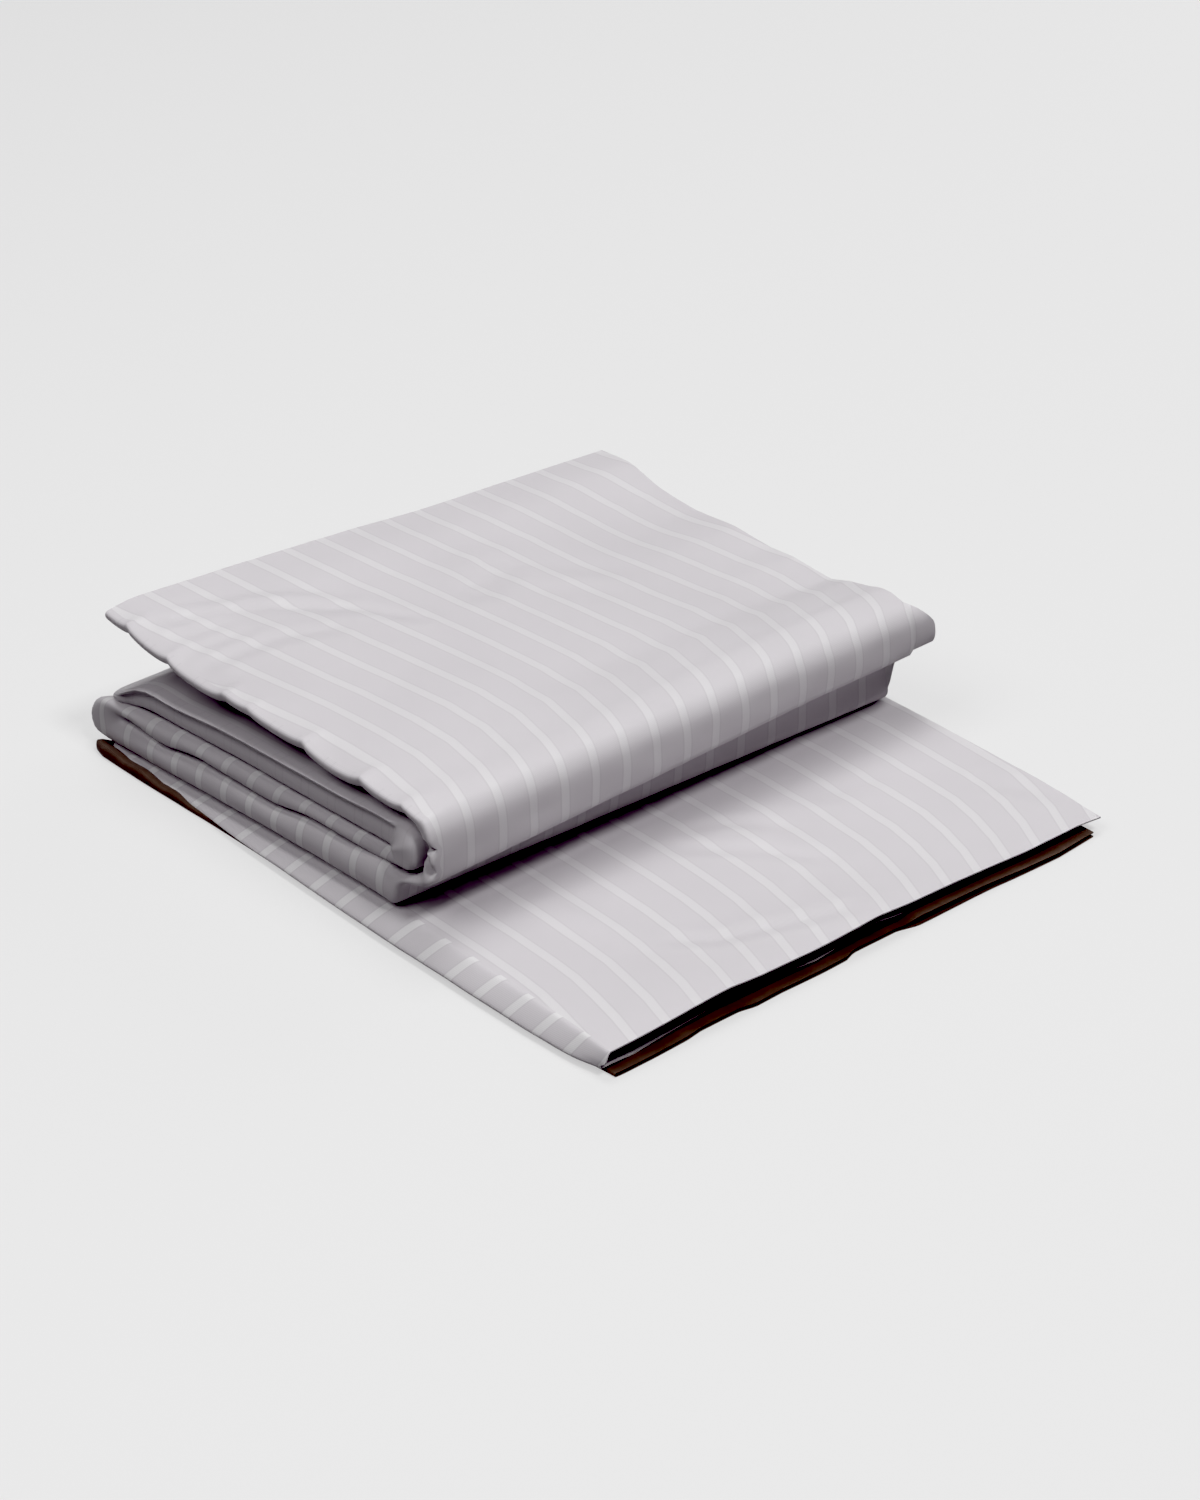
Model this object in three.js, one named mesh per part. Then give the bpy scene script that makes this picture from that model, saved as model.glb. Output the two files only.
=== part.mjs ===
import * as THREE from 'three';

// A duvet cover, folded once lengthwise and then back and forth into a flat pack.
// Units are millimetres, +Z is up, X runs across the pack from the closed side fold to the open side,
// and Y runs from the open front edge of the lowest run to the back.
// All heights in the tables are those of the middle of the cloth.

// Driving dimensions
const PACK_WIDTH = 340;
const FACE_THICKNESS = 1.5;
const INNER_THICKNESS = 1.2;
const UNDER_THICKNESS = 1.2;
const LAYER_GAP = 0.55;
const CREASE_REACH = 1.3;
const INNER_SETBACK = 2;
const INNER_OVERHANG = 10;
const SIDE_NESTING = 2;
const NESTED_ROLL = 3;
const FRONT_TURN_BACK = 165;
const FRONT_TURN_DEPTH = 30;
const FRONT_TURN_BOTTOM = 30;
const FRONT_TURN_RISE = 15;

// Turns in front of this line point forwards, those behind it backwards
const STACK_MIDDLE_Y = 300;

// How much of the change in height from side to side is eased in and out
const EASED_SHARE = 0.5;

// How finely the cloth is divided
const CROSS_STEPS = 9;
const SIDE_FOLD_STEPS = 5;

const FACE_COLOUR = 0xc5c2c4;
const INNER_COLOUR = 0xb9b4b9;
const UNDER_COLOUR = 0x4e3a30;

function table(columns, rows) {
  return rows.map((row) => Object.fromEntries(columns.map((name, i) => [name, row[i]])));
}

// Heights of the lower and the upper layer of each run, at the side fold (left) and the open side (right).
// The runs are in the order of the cloth's way: the base, back and up over the pack, forwards under itself,
// back, forwards again just above the base, and round the front to the top.
const RUN_COLUMNS = ['yLeft', 'yRight', 'lowLeft', 'highLeft', 'lowRight', 'highRight'];
const RUNS = [
  { name: 'base', rows: table(RUN_COLUMNS, [
    [0, 0, 3.9, 14.2, 3.9, 10.2],
    [14, 14, 3.9, 14.3, 3.9, 10.8],
    [40, 40, 3.9, 14.3, 3.9, 11.4],
    [85, 85, 3.9, 14.2, 3.9, 12.2],
    [130, 130, 3.9, 14.2, 3.9, 12.8],
    [170, 168, 3.9, 14.5, 3.9, 13.0],
    [205, 203, 3.9, 14.9, 3.9, 13.4],
    [245, 243, 3.9, 14.3, 3.9, 13.4],
    [290, 288, 3.9, 13.4, 3.9, 13.0],
    [330, 328, 3.9, 12.2, 3.9, 12.4],
    [372, 370, 3.9, 11.2, 3.9, 12.0],
    [412, 410, 3.9, 10.4, 3.9, 11.6],
  ]) },
  { name: 'middle', rows: table(RUN_COLUMNS, [
    [385, 385, 40.0, 57.0, 37.0, 59.4],
    [350, 348, 42.4, 59.2, 38.2, 61.0],
    [312, 310, 44.2, 60.4, 39.2, 61.8],
    [275, 273, 45.8, 62.2, 40.0, 62.4],
    [240, 238, 47.2, 64.2, 40.8, 62.8],
    [205, 203, 50.2, 66.2, 41.4, 63.2],
    [170, 174, 52.8, 67.4, 41.4, 63.8],
  ]) },
  { name: 'third', rows: table(RUN_COLUMNS, [
    [170, 174, 40.6, 50.2, 30.0, 38.8],
    [205, 203, 37.4, 47.6, 30.0, 38.8],
    [240, 238, 36.6, 44.6, 29.6, 38.2],
    [275, 273, 31.9, 43.2, 28.8, 37.4],
    [312, 310, 28.0, 41.6, 27.8, 36.6],
    [350, 348, 24.2, 39.8, 26.6, 35.6],
    [376, 376, 22.2, 36.8, 25.6, 33.8],
    [398, 396, 21.6, 33.8, 24.4, 31.8],
  ]) },
  { name: 'second', rows: table(RUN_COLUMNS, [
    [398, 396, 13.0, 18.8, 14.0, 21.4],
    [376, 376, 13.4, 19.4, 14.2, 23.0],
    [350, 348, 14.0, 21.6, 14.7, 24.0],
    [312, 310, 15.1, 25.4, 15.2, 25.2],
    [275, 273, 16.2, 29.2, 15.6, 26.2],
    [240, 238, 16.7, 34.0, 15.9, 27.0],
    [205, 203, 17.2, 34.8, 15.8, 27.4],
    [172, 170, 17.0, 38.0, 15.4, 27.4],
  ]) },
  { name: 'top', rows: table(RUN_COLUMNS, [
    [152, 156, 70.8, 77.0, 67.0, 76.6],
    [171, 173, 72.0, 78.4, 66.8, 74.6],
    [188, 188, 73.8, 80.8, 66.8, 73.6],
    [204, 202, 71.4, 77.8, 66.4, 71.8],
    [220, 217, 72.6, 79.2, 66.2, 72.4],
    [238, 233, 75.6, 82.6, 66.4, 73.6],
    [256, 250, 74.6, 81.2, 66.2, 72.4],
    [290, 280, 75.4, 82.2, 66.8, 74.2],
    [324, 312, 74.4, 81.0, 66.2, 72.4],
    [357, 343, 76.6, 83.2, 67.6, 75.4],
    [386, 369, 79.2, 86.0, 71.8, 81.4],
    [414, 393, 81.0, 87.8, 71.6, 80.4],
  ]) },
];

// The cloth's way round each turn between two runs, outer and inner layer.
// A turn with no inner way is creased flat on its inner side.
// drawIn is how far the side fold is drawn in at the turn, so that the turn inside it shows.
const TURN_COLUMNS = ['yLeft', 'zLeft', 'yRight', 'zRight'];
const TURNS = [
  {
    drawIn: 24,
    outer: table(TURN_COLUMNS, [
      [421, 4.6, 419, 4.6],
      [428.5, 10.0, 427, 10.0],
      [431, 19.0, 430, 19.0],
      [427.5, 30.0, 427, 31.0],
      [417, 40.4, 418, 42.0],
      [402, 49.6, 403, 52.4],
    ]),
    inner: table(TURN_COLUMNS, [
      [418, 11.0, 416, 12.0],
      [422.6, 14.2, 421.5, 14.8],
      [425, 20.0, 424, 20.6],
      [421.4, 28.0, 420.8, 28.4],
      [411.4, 34.6, 411, 34.6],
      [398, 38.2, 398, 36.4],
    ]),
  },
  {
    drawIn: 0,
    outer: table(TURN_COLUMNS, [
      [152, 66.8, 156, 64.8],
      [143, 65.2, 145, 64.6],
      [137, 61.5, 139, 61.8],
      [136.5, 56.8, 138, 56.5],
      [142, 52.4, 144, 52.4],
      [151, 49.8, 152, 48.6],
      [160, 45.8, 161, 40.4],
      [165, 42.4, 165, 33.0],
    ]),
  },
  {
    drawIn: 0,
    outer: table(TURN_COLUMNS, [
      [407, 31.8, 405, 30.8],
      [415.6, 27.4, 414, 27.2],
      [419.6, 21.0, 418, 21.6],
      [417, 16.0, 415.4, 16.8],
      [409, 13.3, 406, 14.2],
    ]),
  },
  {
    drawIn: 0,
    outer: table(TURN_COLUMNS, [
      [161, 18.6, 156, 16.4],
      [155.5, 23.0, 150, 20.4],
      [155, 29.0, 149, 26.4],
      [156, 35.0, 151.4, 32.8],
      [151, 40.0, 147.5, 38.4],
      [137, 44.6, 137, 43.6],
      [127.5, 51.0, 129.5, 51.0],
      [124, 60.4, 127, 61.0],
      [129, 70.4, 131.5, 70.8],
      [140, 75.4, 143, 76.0],
    ]),
    inner: table(TURN_COLUMNS, [
      [169, 37.8, 164, 27.4],
      [166, 38.0, 160.5, 28.6],
      [163.6, 39.4, 158.5, 32.4],
      [160.6, 42.0, 157, 38.0],
      [154, 46.0, 151, 44.8],
      [141.5, 49.8, 143, 49.4],
      [134, 54.2, 135.4, 54.4],
      [130.6, 60.4, 133.2, 61.0],
      [133.4, 66.2, 137, 66.4],
      [142, 69.4, 146, 67.8],
    ]),
  },
];

// Where the side fold starts on the upper and the lower layer, and how far it rolls out,
// at the start and the end of each run
const SIDE_COLUMNS = ['run', 'end', 'xHigh', 'xLow', 'roll'];
const SIDE_FOLDS = table(SIDE_COLUMNS, [
  ['base', 0, 4, 4, 4],
  ['base', 1, 10, 5, 5],
  ['middle', 0, 15, 11, 10],
  ['middle', 1, 8, 7, 6],
  ['third', 0, 8, 7, 4],
  ['third', 1, 8, 7, 7],
  ['second', 0, 8, 7, 7],
  ['second', 1, 9, 7, 9],
  ['top', 0, 6, 9, 5],
  ['top', 1, 6, 9, 5],
]);

// The lift of the open front edge of the lowest run, which is pushed up here and there
const MOUTH_LIFT = table(['x', 'lift'], [
  [0, 0], [40, 1.6], [78, 3.8], [98, 2.4], [133, 1.8], [160, 3.0], [180, 4.4], [202, 3.0],
  [235, 2.4], [290, 0], [325, 0], [346, -1.4],
]);
const MOUTH_DEPTH = 60;
const MOUTH_FLOOR = 3.9;
const MOUTH_HEIGHT = 10;

// How far the turn inside the back of the pack is pushed out, and over what width, depth and height
const PUSH_DEPTH = 8;
const PUSH_WIDTH = 26;
const PUSH_START = 385;
const PUSH_FADE = 35;
const PUSH_TOP = 62;
const PUSH_TOP_FADE = 15;

// Broad swells and dents of the stack, fading out towards the floor
const SWELLS = table(['x', 'y', 'radius', 'height'], [
  [150, 300, 120, 2.6],
  [250, 180, 70, 1.6],
  [95, 210, 55, 1.4],
  [300, 330, 60, -1.6],
  [215, 400, 70, -1.2],
  [60, 330, 50, 1.2],
]);
const SWELL_FULL_HEIGHT = 60;

function mix(a, b, t) {
  return a + (b - a) * t;
}

function smooth(t) {
  const s = THREE.MathUtils.clamp(t, 0, 1);
  return s * s * (3 - 2 * s);
}

function lookUp(rows, key, value, column) {
  const last = rows.length - 1;
  if (value <= rows[0][key]) return rows[0][column];
  if (value >= rows[last][key]) return rows[last][column];
  const i = rows.findIndex((row) => row[key] > value);
  const t = (value - rows[i - 1][key]) / (rows[i][key] - rows[i - 1][key]);
  return mix(rows[i - 1][column], rows[i][column], t);
}

function sideFold(run, share) {
  const [start, end] = SIDE_FOLDS.filter((row) => row.run === run);
  return {
    high: mix(start.xHigh, end.xHigh, share),
    low: mix(start.xLow, end.xLow, share),
    roll: mix(start.roll, end.roll, share),
  };
}

function runLine(row, layer) {
  return { yLeft: row.yLeft, yRight: row.yRight, zLeft: row[layer + 'Left'], zRight: row[layer + 'Right'] };
}

function runStations(run, index) {
  const layers = index % 2 === 0 ? ['low', 'high'] : ['high', 'low'];
  return run.rows.map((row, i) => {
    const fold = sideFold(run.name, i / (run.rows.length - 1));
    return {
      first: runLine(row, layers[0]),
      second: runLine(row, layers[1]),
      xFirst: fold[layers[0]],
      xSecond: fold[layers[1]],
      roll: fold.roll,
    };
  });
}

// The inner side of a turn that is creased flat
function crease(from, to, steps) {
  const lines = [];
  for (let i = 1; i <= steps; i++) {
    const angle = (Math.PI * i) / (steps + 1);
    const t = (1 - Math.cos(angle)) / 2;
    const out = Math.sign(from.yLeft - STACK_MIDDLE_Y) * Math.sin(angle) * CREASE_REACH;
    lines.push({
      yLeft: mix(from.yLeft, to.yLeft, t) + out,
      yRight: mix(from.yRight, to.yRight, t) + out,
      zLeft: mix(from.zLeft, to.zLeft, t),
      zRight: mix(from.zRight, to.zRight, t),
    });
  }
  return lines;
}

function turnStations(turn, before, after, outerLayer) {
  const innerLayer = outerLayer === 'first' ? 'second' : 'first';
  const steps = turn.outer.length;
  const inner = turn.inner ?? crease(before[innerLayer], after[innerLayer], steps);
  return turn.outer.map((outer, i) => {
    const t = (i + 1) / (steps + 1);
    const drawIn = turn.drawIn * Math.sin(Math.PI * t);
    return {
      [outerLayer]: outer,
      [innerLayer]: inner[i],
      xFirst: mix(before.xFirst, after.xFirst, t) + drawIn,
      xSecond: mix(before.xSecond, after.xSecond, t) + drawIn,
      roll: mix(before.roll, after.roll, t),
    };
  });
}

// The first layer is outside at the turns that lead down into the pack, the second at the others
const OUTER_LAYERS = ['first', 'first', 'second', 'second'];

function stripStations() {
  const runs = RUNS.map(runStations);
  return runs.flatMap((run, i) => {
    if (i + 1 === runs.length) return run;
    return [...run, ...turnStations(TURNS[i], run[run.length - 1], runs[i + 1][0], OUTER_LAYERS[i])];
  });
}

// Moves one layer's lines sideways, towards the inside of the doubled cloth
function insetLines(lines, distance) {
  const moved = lines.map((line) => ({ ...line }));
  for (const side of ['Left', 'Right']) {
    const y = 'y' + side;
    const z = 'z' + side;
    lines.forEach((line, i) => {
      const next = lines[Math.min(i + 1, lines.length - 1)];
      const last = lines[Math.max(i - 1, 0)];
      const along = new THREE.Vector2(next[y] - last[y], next[z] - last[z]).normalize();
      moved[i][y] -= along.y * distance;
      moved[i][z] += along.x * distance;
    });
  }
  return moved;
}

function nestedStations(inset) {
  const stations = stripStations();
  const first = insetLines(stations.map((station) => station.first), inset);
  const second = insetLines(stations.map((station) => station.second), -inset);
  return stations.map((station, i) => {
    const x = Math.max(station.xFirst, station.xSecond) + SIDE_NESTING;
    const apart = Math.hypot(first[i].yLeft - second[i].yLeft, first[i].zLeft - second[i].zLeft);
    const roll = Math.min(apart / 2, NESTED_ROLL);
    return { first: first[i], second: second[i], xFirst: x, xSecond: x, roll };
  });
}

// The stack's unevenness moves all layers together, so that they keep their distance
function uneven(point) {
  const { x, y, z } = point;
  const share = smooth(z / SWELL_FULL_HEIGHT);
  let lift = 0;
  for (const swell of SWELLS) {
    const away = Math.hypot(x - swell.x, y - swell.y) / swell.radius;
    lift += swell.height * share * smooth(1 - away);
  }
  const mouthShare = THREE.MathUtils.clamp((z - MOUTH_FLOOR) / MOUTH_HEIGHT, 0, 1);
  lift += smooth(1 - y / MOUTH_DEPTH) * mouthShare * lookUp(MOUTH_LIFT, 'x', x, 'lift');
  return new THREE.Vector3(x, y + backPush(point), z + lift);
}

// At the back the inner turn is pushed out past the others, next to the side fold only
function backPush(point) {
  const side = smooth(1 - point.x / PUSH_WIDTH);
  const back = smooth((point.y - PUSH_START) / PUSH_FADE);
  const low = smooth((PUSH_TOP - point.z) / PUSH_TOP_FADE);
  return PUSH_DEPTH * side * back * low;
}

function layerPoint(layer, x) {
  const t = x / PACK_WIDTH;
  const y = mix(layer.yLeft, layer.yRight, t);
  const z = mix(layer.zLeft, layer.zRight, mix(t, smooth(t), EASED_SHARE));
  return new THREE.Vector3(x, y, z);
}

// One station's line across the strip: first layer from the open side, round the side fold, second layer back
function stationPoints(station, rightEnd) {
  const points = [layerPoint(station.first, rightEnd)];
  for (let i = 1; i <= CROSS_STEPS; i++) {
    const x = mix(PACK_WIDTH, station.xFirst, i / CROSS_STEPS);
    points.push(layerPoint(station.first, x));
  }
  const start = layerPoint(station.first, station.xFirst);
  const end = layerPoint(station.second, station.xSecond);
  for (let i = 1; i < SIDE_FOLD_STEPS; i++) {
    const angle = (Math.PI * i) / SIDE_FOLD_STEPS;
    const point = start.clone().lerp(end, (1 - Math.cos(angle)) / 2);
    point.x -= station.roll * Math.sin(angle);
    points.push(point);
  }
  for (let i = 0; i < CROSS_STEPS; i++) {
    const x = mix(station.xSecond, PACK_WIDTH, i / CROSS_STEPS);
    points.push(layerPoint(station.second, x));
  }
  points.push(layerPoint(station.second, rightEnd));
  return points.map(uneven);
}

function gridNormal(grid, i, j) {
  const iNext = Math.min(i + 1, grid.length - 1);
  const iLast = Math.max(i - 1, 0);
  const jNext = Math.min(j + 1, grid[0].length - 1);
  const jLast = Math.max(j - 1, 0);
  const along = grid[iNext][j].clone().sub(grid[iLast][j]);
  const across = grid[i][jNext].clone().sub(grid[i][jLast]);
  return along.cross(across).normalize();
}

// A closed sheet of even thickness on a grid of points
function sheetGeometry(grid, thickness) {
  const rows = grid.length;
  const columns = grid[0].length;
  const positions = [];
  for (const side of [1, -1]) {
    for (let i = 0; i < rows; i++) {
      for (let j = 0; j < columns; j++) {
        const offset = gridNormal(grid, i, j).multiplyScalar((side * thickness) / 2);
        positions.push(...grid[i][j].clone().add(offset).toArray());
      }
    }
  }
  const at = (side, i, j) => side * rows * columns + i * columns + j;
  const index = [];
  const quad = (a, b, c, d) => index.push(a, b, c, a, c, d);
  for (let i = 0; i + 1 < rows; i++) {
    for (let j = 0; j + 1 < columns; j++) {
      quad(at(0, i, j), at(0, i + 1, j), at(0, i + 1, j + 1), at(0, i, j + 1));
      quad(at(1, i, j), at(1, i, j + 1), at(1, i + 1, j + 1), at(1, i + 1, j));
    }
  }
  for (let i = 0; i + 1 < rows; i++) {
    const end = columns - 1;
    quad(at(0, i, 0), at(1, i, 0), at(1, i + 1, 0), at(0, i + 1, 0));
    quad(at(0, i, end), at(0, i + 1, end), at(1, i + 1, end), at(1, i, end));
  }
  for (let j = 0; j + 1 < columns; j++) {
    const end = rows - 1;
    quad(at(0, 0, j), at(0, 0, j + 1), at(1, 0, j + 1), at(1, 0, j));
    quad(at(0, end, j), at(1, end, j), at(1, end, j + 1), at(0, end, j + 1));
  }
  const geometry = new THREE.BufferGeometry();
  geometry.setAttribute('position', new THREE.Float32BufferAttribute(positions, 3));
  geometry.setIndex(index);
  geometry.computeVertexNormals();
  return geometry;
}

function clothMaterial(colour) {
  return new THREE.MeshStandardMaterial({ color: colour, roughness: 0.75, metalness: 0 });
}

function facePanel() {
  const stations = stripStations();
  const grid = stations.map((station) => stationPoints(station, PACK_WIDTH));
  const mesh = new THREE.Mesh(sheetGeometry(grid, FACE_THICKNESS), clothMaterial(FACE_COLOUR));
  mesh.name = 'face_panel';
  return mesh;
}

// The inner cloth slips out sideways where the front turn presses it
function innerRightEnd(station) {
  const { yRight, zRight } = station.second;
  const front = smooth((FRONT_TURN_BACK - yRight) / FRONT_TURN_DEPTH);
  const raised = smooth((zRight - FRONT_TURN_BOTTOM) / FRONT_TURN_RISE);
  return PACK_WIDTH - INNER_SETBACK + front * raised * (INNER_SETBACK + INNER_OVERHANG);
}

function innerPanel() {
  const inset = (FACE_THICKNESS + INNER_THICKNESS) / 2 + LAYER_GAP;
  const stations = nestedStations(inset);
  const grid = stations.map((station) => stationPoints(station, innerRightEnd(station)));
  const mesh = new THREE.Mesh(sheetGeometry(grid, INNER_THICKNESS), clothMaterial(INNER_COLOUR));
  mesh.name = 'inner_panel';
  return mesh;
}

// The dark cloth under the pack lies double, folded at its left side.
// Its front edge is set back a little in places.
const UNDER_LEFT = 5;
const UNDER_BACK = 404;
const UNDER_LOWER = UNDER_THICKNESS / 2;
const UNDER_UPPER = 2.25;
const UNDER_FRONT = table(['x', 'setBack'], [
  [5, 0], [45, 0], [58, 7], [84, 7], [93, 0], [110, 0], [118, 2.5], [148, 2.5], [157, 7],
  [196, 7], [206, 0], [260, 0], [300, 0.5], [337, 1.5],
]);
const UNDER_STEPS_Y = [0, 20, 60, 120, 180, 240, 300, 360, UNDER_BACK];

function underPanel() {
  const grid = UNDER_STEPS_Y.map((y) => {
    const front = (row) => Math.max(y, row.setBack * (1 - y / UNDER_BACK));
    const lower = UNDER_FRONT.map((row) => new THREE.Vector3(row.x, front(row), UNDER_LOWER));
    const upper = UNDER_FRONT.map((row) => new THREE.Vector3(row.x, front(row), UNDER_UPPER));
    const middle = (UNDER_LOWER + UNDER_UPPER) / 2;
    const radius = (UNDER_UPPER - UNDER_LOWER) / 2;
    const fold = [-Math.PI / 4, 0, Math.PI / 4].map((angle) => {
      const x = UNDER_LEFT - radius * Math.cos(angle);
      return new THREE.Vector3(x, y, middle + radius * Math.sin(angle));
    });
    return [...lower.reverse(), ...fold, ...upper];
  });
  const mesh = new THREE.Mesh(sheetGeometry(grid, UNDER_THICKNESS), clothMaterial(UNDER_COLOUR));
  mesh.name = 'under_panel';
  return mesh;
}

const pack = new THREE.Group();
pack.add(facePanel());
pack.add(innerPanel());
pack.add(underPanel());
const box = new THREE.Box3().setFromObject(pack);
const centre = box.getCenter(new THREE.Vector3());
pack.children.forEach((mesh) => mesh.geometry.translate(-centre.x, -centre.y, -box.min.z));

export default pack;
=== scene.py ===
"""The looks of a folded duvet cover: its striped outer cloth, inner cloth and under cloth, whose dark brown
is painted shade.
"""

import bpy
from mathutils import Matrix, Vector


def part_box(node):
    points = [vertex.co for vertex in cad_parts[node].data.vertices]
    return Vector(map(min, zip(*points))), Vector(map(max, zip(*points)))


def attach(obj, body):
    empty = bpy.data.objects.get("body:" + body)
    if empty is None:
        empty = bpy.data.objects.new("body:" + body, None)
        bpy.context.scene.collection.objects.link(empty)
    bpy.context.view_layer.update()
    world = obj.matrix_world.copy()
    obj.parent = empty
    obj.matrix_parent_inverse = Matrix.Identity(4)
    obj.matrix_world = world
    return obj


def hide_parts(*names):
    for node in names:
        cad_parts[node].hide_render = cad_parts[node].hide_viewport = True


bl_info = {
    "name": "Folded Duvet Cover",
    "version": (1, 0, 0),
    "blender": (4, 5, 0),
    "location": "View3D > Sidebar > Cover",
    "description": "Builds the cloths of a folded duvet cover on the folds of its packed model",
    "category": "Add Mesh",
}

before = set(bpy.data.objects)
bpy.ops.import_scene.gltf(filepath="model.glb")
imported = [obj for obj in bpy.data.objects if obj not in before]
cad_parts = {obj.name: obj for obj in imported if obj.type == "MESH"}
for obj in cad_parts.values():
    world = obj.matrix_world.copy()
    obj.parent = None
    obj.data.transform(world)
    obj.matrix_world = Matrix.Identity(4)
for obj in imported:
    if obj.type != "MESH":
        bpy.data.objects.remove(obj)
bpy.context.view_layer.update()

import math

import bpy
import numpy as np

# The tables are in millimetres from the pack's near corner: x runs across the pack, from the closed side
# fold to the open side, y from the open front edge of the base to the back, and z is up
MM = 0.001
PACK_WIDTH = 340.0
UNDER_RIGHT = 337.0
CORNER = np.array([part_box("under_panel")[1].x - UNDER_RIGHT * MM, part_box("face_panel")[0].y, 0.0])

# The inner cloth's distance from the outer one, on the layers and at the side fold, and its roll
LAYER_INSET = 1.9
SIDE_NESTING = 2.0
NESTED_ROLL = 3.0

# The inner layer of a flat crease reaches a little past the runs, away from the middle of the stack
CREASE_REACH = 1.3
STACK_MIDDLE_Y = 300.0

# How much of the change in height across the pack is eased, and not even
EASED_SHARE = 0.5


def table(columns, rows):
    """Named columns of numbers."""
    return dict(zip(columns, np.array(rows, float).T))


def column_at(rows, places, column):
    """A column's values at places on the first column."""
    return np.interp(places, next(iter(rows.values())), rows[column])


# The runs in the order of the cloth's way, with the heights of the middle of their lower and upper layer
RUN_COLUMNS = ("y_left", "y_right", "low_left", "high_left", "low_right", "high_right")
RUNS = (
    table(RUN_COLUMNS, (  # base
        (0, 0, 3.9, 14.2, 3.9, 10.2),
        (14, 14, 3.9, 14.3, 3.9, 10.8),
        (40, 40, 3.9, 14.3, 3.9, 11.4),
        (85, 85, 3.9, 14.2, 3.9, 12.2),
        (130, 130, 3.9, 14.2, 3.9, 12.8),
        (170, 168, 3.9, 15.0, 3.9, 13.0),
        (205, 203, 3.9, 15.2, 3.9, 13.4),
        (245, 243, 3.9, 13.6, 3.9, 13.4),
        (290, 288, 3.9, 11.6, 3.9, 13.0),
        (330, 328, 3.6, 9.4, 3.9, 12.4),
        (372, 370, 3.2, 7.4, 3.9, 12.0),
        (412, 410, 3.0, 6.0, 3.9, 11.6),
    )),
    table(RUN_COLUMNS, (  # middle
        (385, 385, 38.0, 51.0, 37.0, 59.4),
        (350, 348, 41.0, 54.6, 38.2, 61.0),
        (312, 310, 43.2, 58.4, 39.2, 61.8),
        (275, 273, 45.2, 60.6, 40.0, 62.4),
        (240, 238, 46.8, 62.2, 40.8, 62.8),
        (205, 203, 48.4, 63.8, 41.4, 63.2),
        (170, 174, 50.0, 66.0, 41.4, 63.8),
    )),
    table(RUN_COLUMNS, (  # third
        (170, 174, 40.2, 47.8, 30.0, 38.8),
        (205, 203, 38.0, 46.2, 30.0, 38.8),
        (240, 238, 36.2, 44.6, 29.6, 38.2),
        (275, 273, 32.8, 43.0, 28.8, 37.4),
        (312, 310, 30.4, 41.0, 27.8, 36.6),
        (350, 348, 27.6, 38.8, 26.6, 35.6),
        (376, 376, 26.0, 36.2, 25.6, 33.8),
        (398, 396, 24.2, 33.4, 24.4, 31.8),
    )),
    table(RUN_COLUMNS, (  # second
        (398, 396, 7.6, 21.8, 14.0, 21.4),
        (376, 376, 9.0, 23.6, 14.2, 23.0),
        (350, 348, 11.0, 25.2, 14.7, 24.0),
        (312, 310, 13.2, 28.0, 15.2, 25.2),
        (275, 273, 15.2, 30.4, 15.6, 26.2),
        (240, 238, 16.6, 33.8, 15.9, 27.0),
        (205, 203, 17.8, 35.6, 15.8, 27.4),
        (172, 170, 18.0, 37.8, 15.4, 27.4),
    )),
    table(RUN_COLUMNS, (  # top
        (152, 156, 72.4, 79.2, 71.6, 81.4),
        (171, 173, 73.6, 80.4, 69.8, 79.4),
        (188, 188, 74.0, 81.3, 67.8, 76.6),
        (204, 202, 74.2, 81.6, 66.4, 73.8),
        (220, 217, 74.6, 81.8, 66.2, 73.4),
        (238, 233, 75.0, 82.0, 66.2, 73.2),
        (256, 250, 75.0, 82.0, 66.2, 73.2),
        (290, 280, 75.2, 82.2, 66.4, 73.4),
        (324, 312, 75.4, 82.2, 66.6, 73.6),
        (357, 343, 76.8, 83.4, 68.0, 75.6),
        (386, 369, 80.0, 86.8, 71.0, 80.2),
        (411, 393, 83.4, 90.0, 71.6, 80.4),
    )),
)

# The cloth's way round the turns between two runs, outer and inner layer
TURN_COLUMNS = ("y_left", "z_left", "y_right", "z_right")
BACK_WRAP_OUTER = table(TURN_COLUMNS, (
    (421, 4.6, 419, 4.6),
    (429.5, 10.0, 427, 10.0),
    (432, 18.0, 430, 19.0),
    (428, 25.4, 427, 31.0),
    (417.5, 32.2, 418, 42.0),
    (402, 41.4, 403, 52.4),
))
BACK_WRAP_INNER = table(TURN_COLUMNS, (
    (419, 9.0, 416, 12.0),
    (424, 13.0, 421.5, 14.8),
    (426, 18.6, 424, 20.6),
    (422, 24.4, 420.8, 28.4),
    (412, 29.4, 411, 34.6),
    (399, 34.6, 398, 36.4),
))
FRONT_DROP_OUTER = table(TURN_COLUMNS, (
    (158, 66.4, 164, 64.8),
    (153, 64.6, 159, 64.2),
    (149.6, 61.2, 154.6, 61.2),
    (148.3, 56.4, 153.4, 57.0),
    (148.3, 51.2, 155.6, 52.4),
    (150.2, 46.8, 160.4, 46.6),
    (155.2, 43.6, 165.0, 39.6),
    (162.5, 41.6, 168, 33.0),
))
BACK_NOSE_OUTER = table(TURN_COLUMNS, (
    (408, 31.0, 405, 30.8),
    (416, 25.2, 414, 27.2),
    (420.4, 16.6, 418, 21.6),
    (418.4, 8.6, 415.4, 16.8),
    (409, 6.4, 406, 14.2),
))
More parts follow.
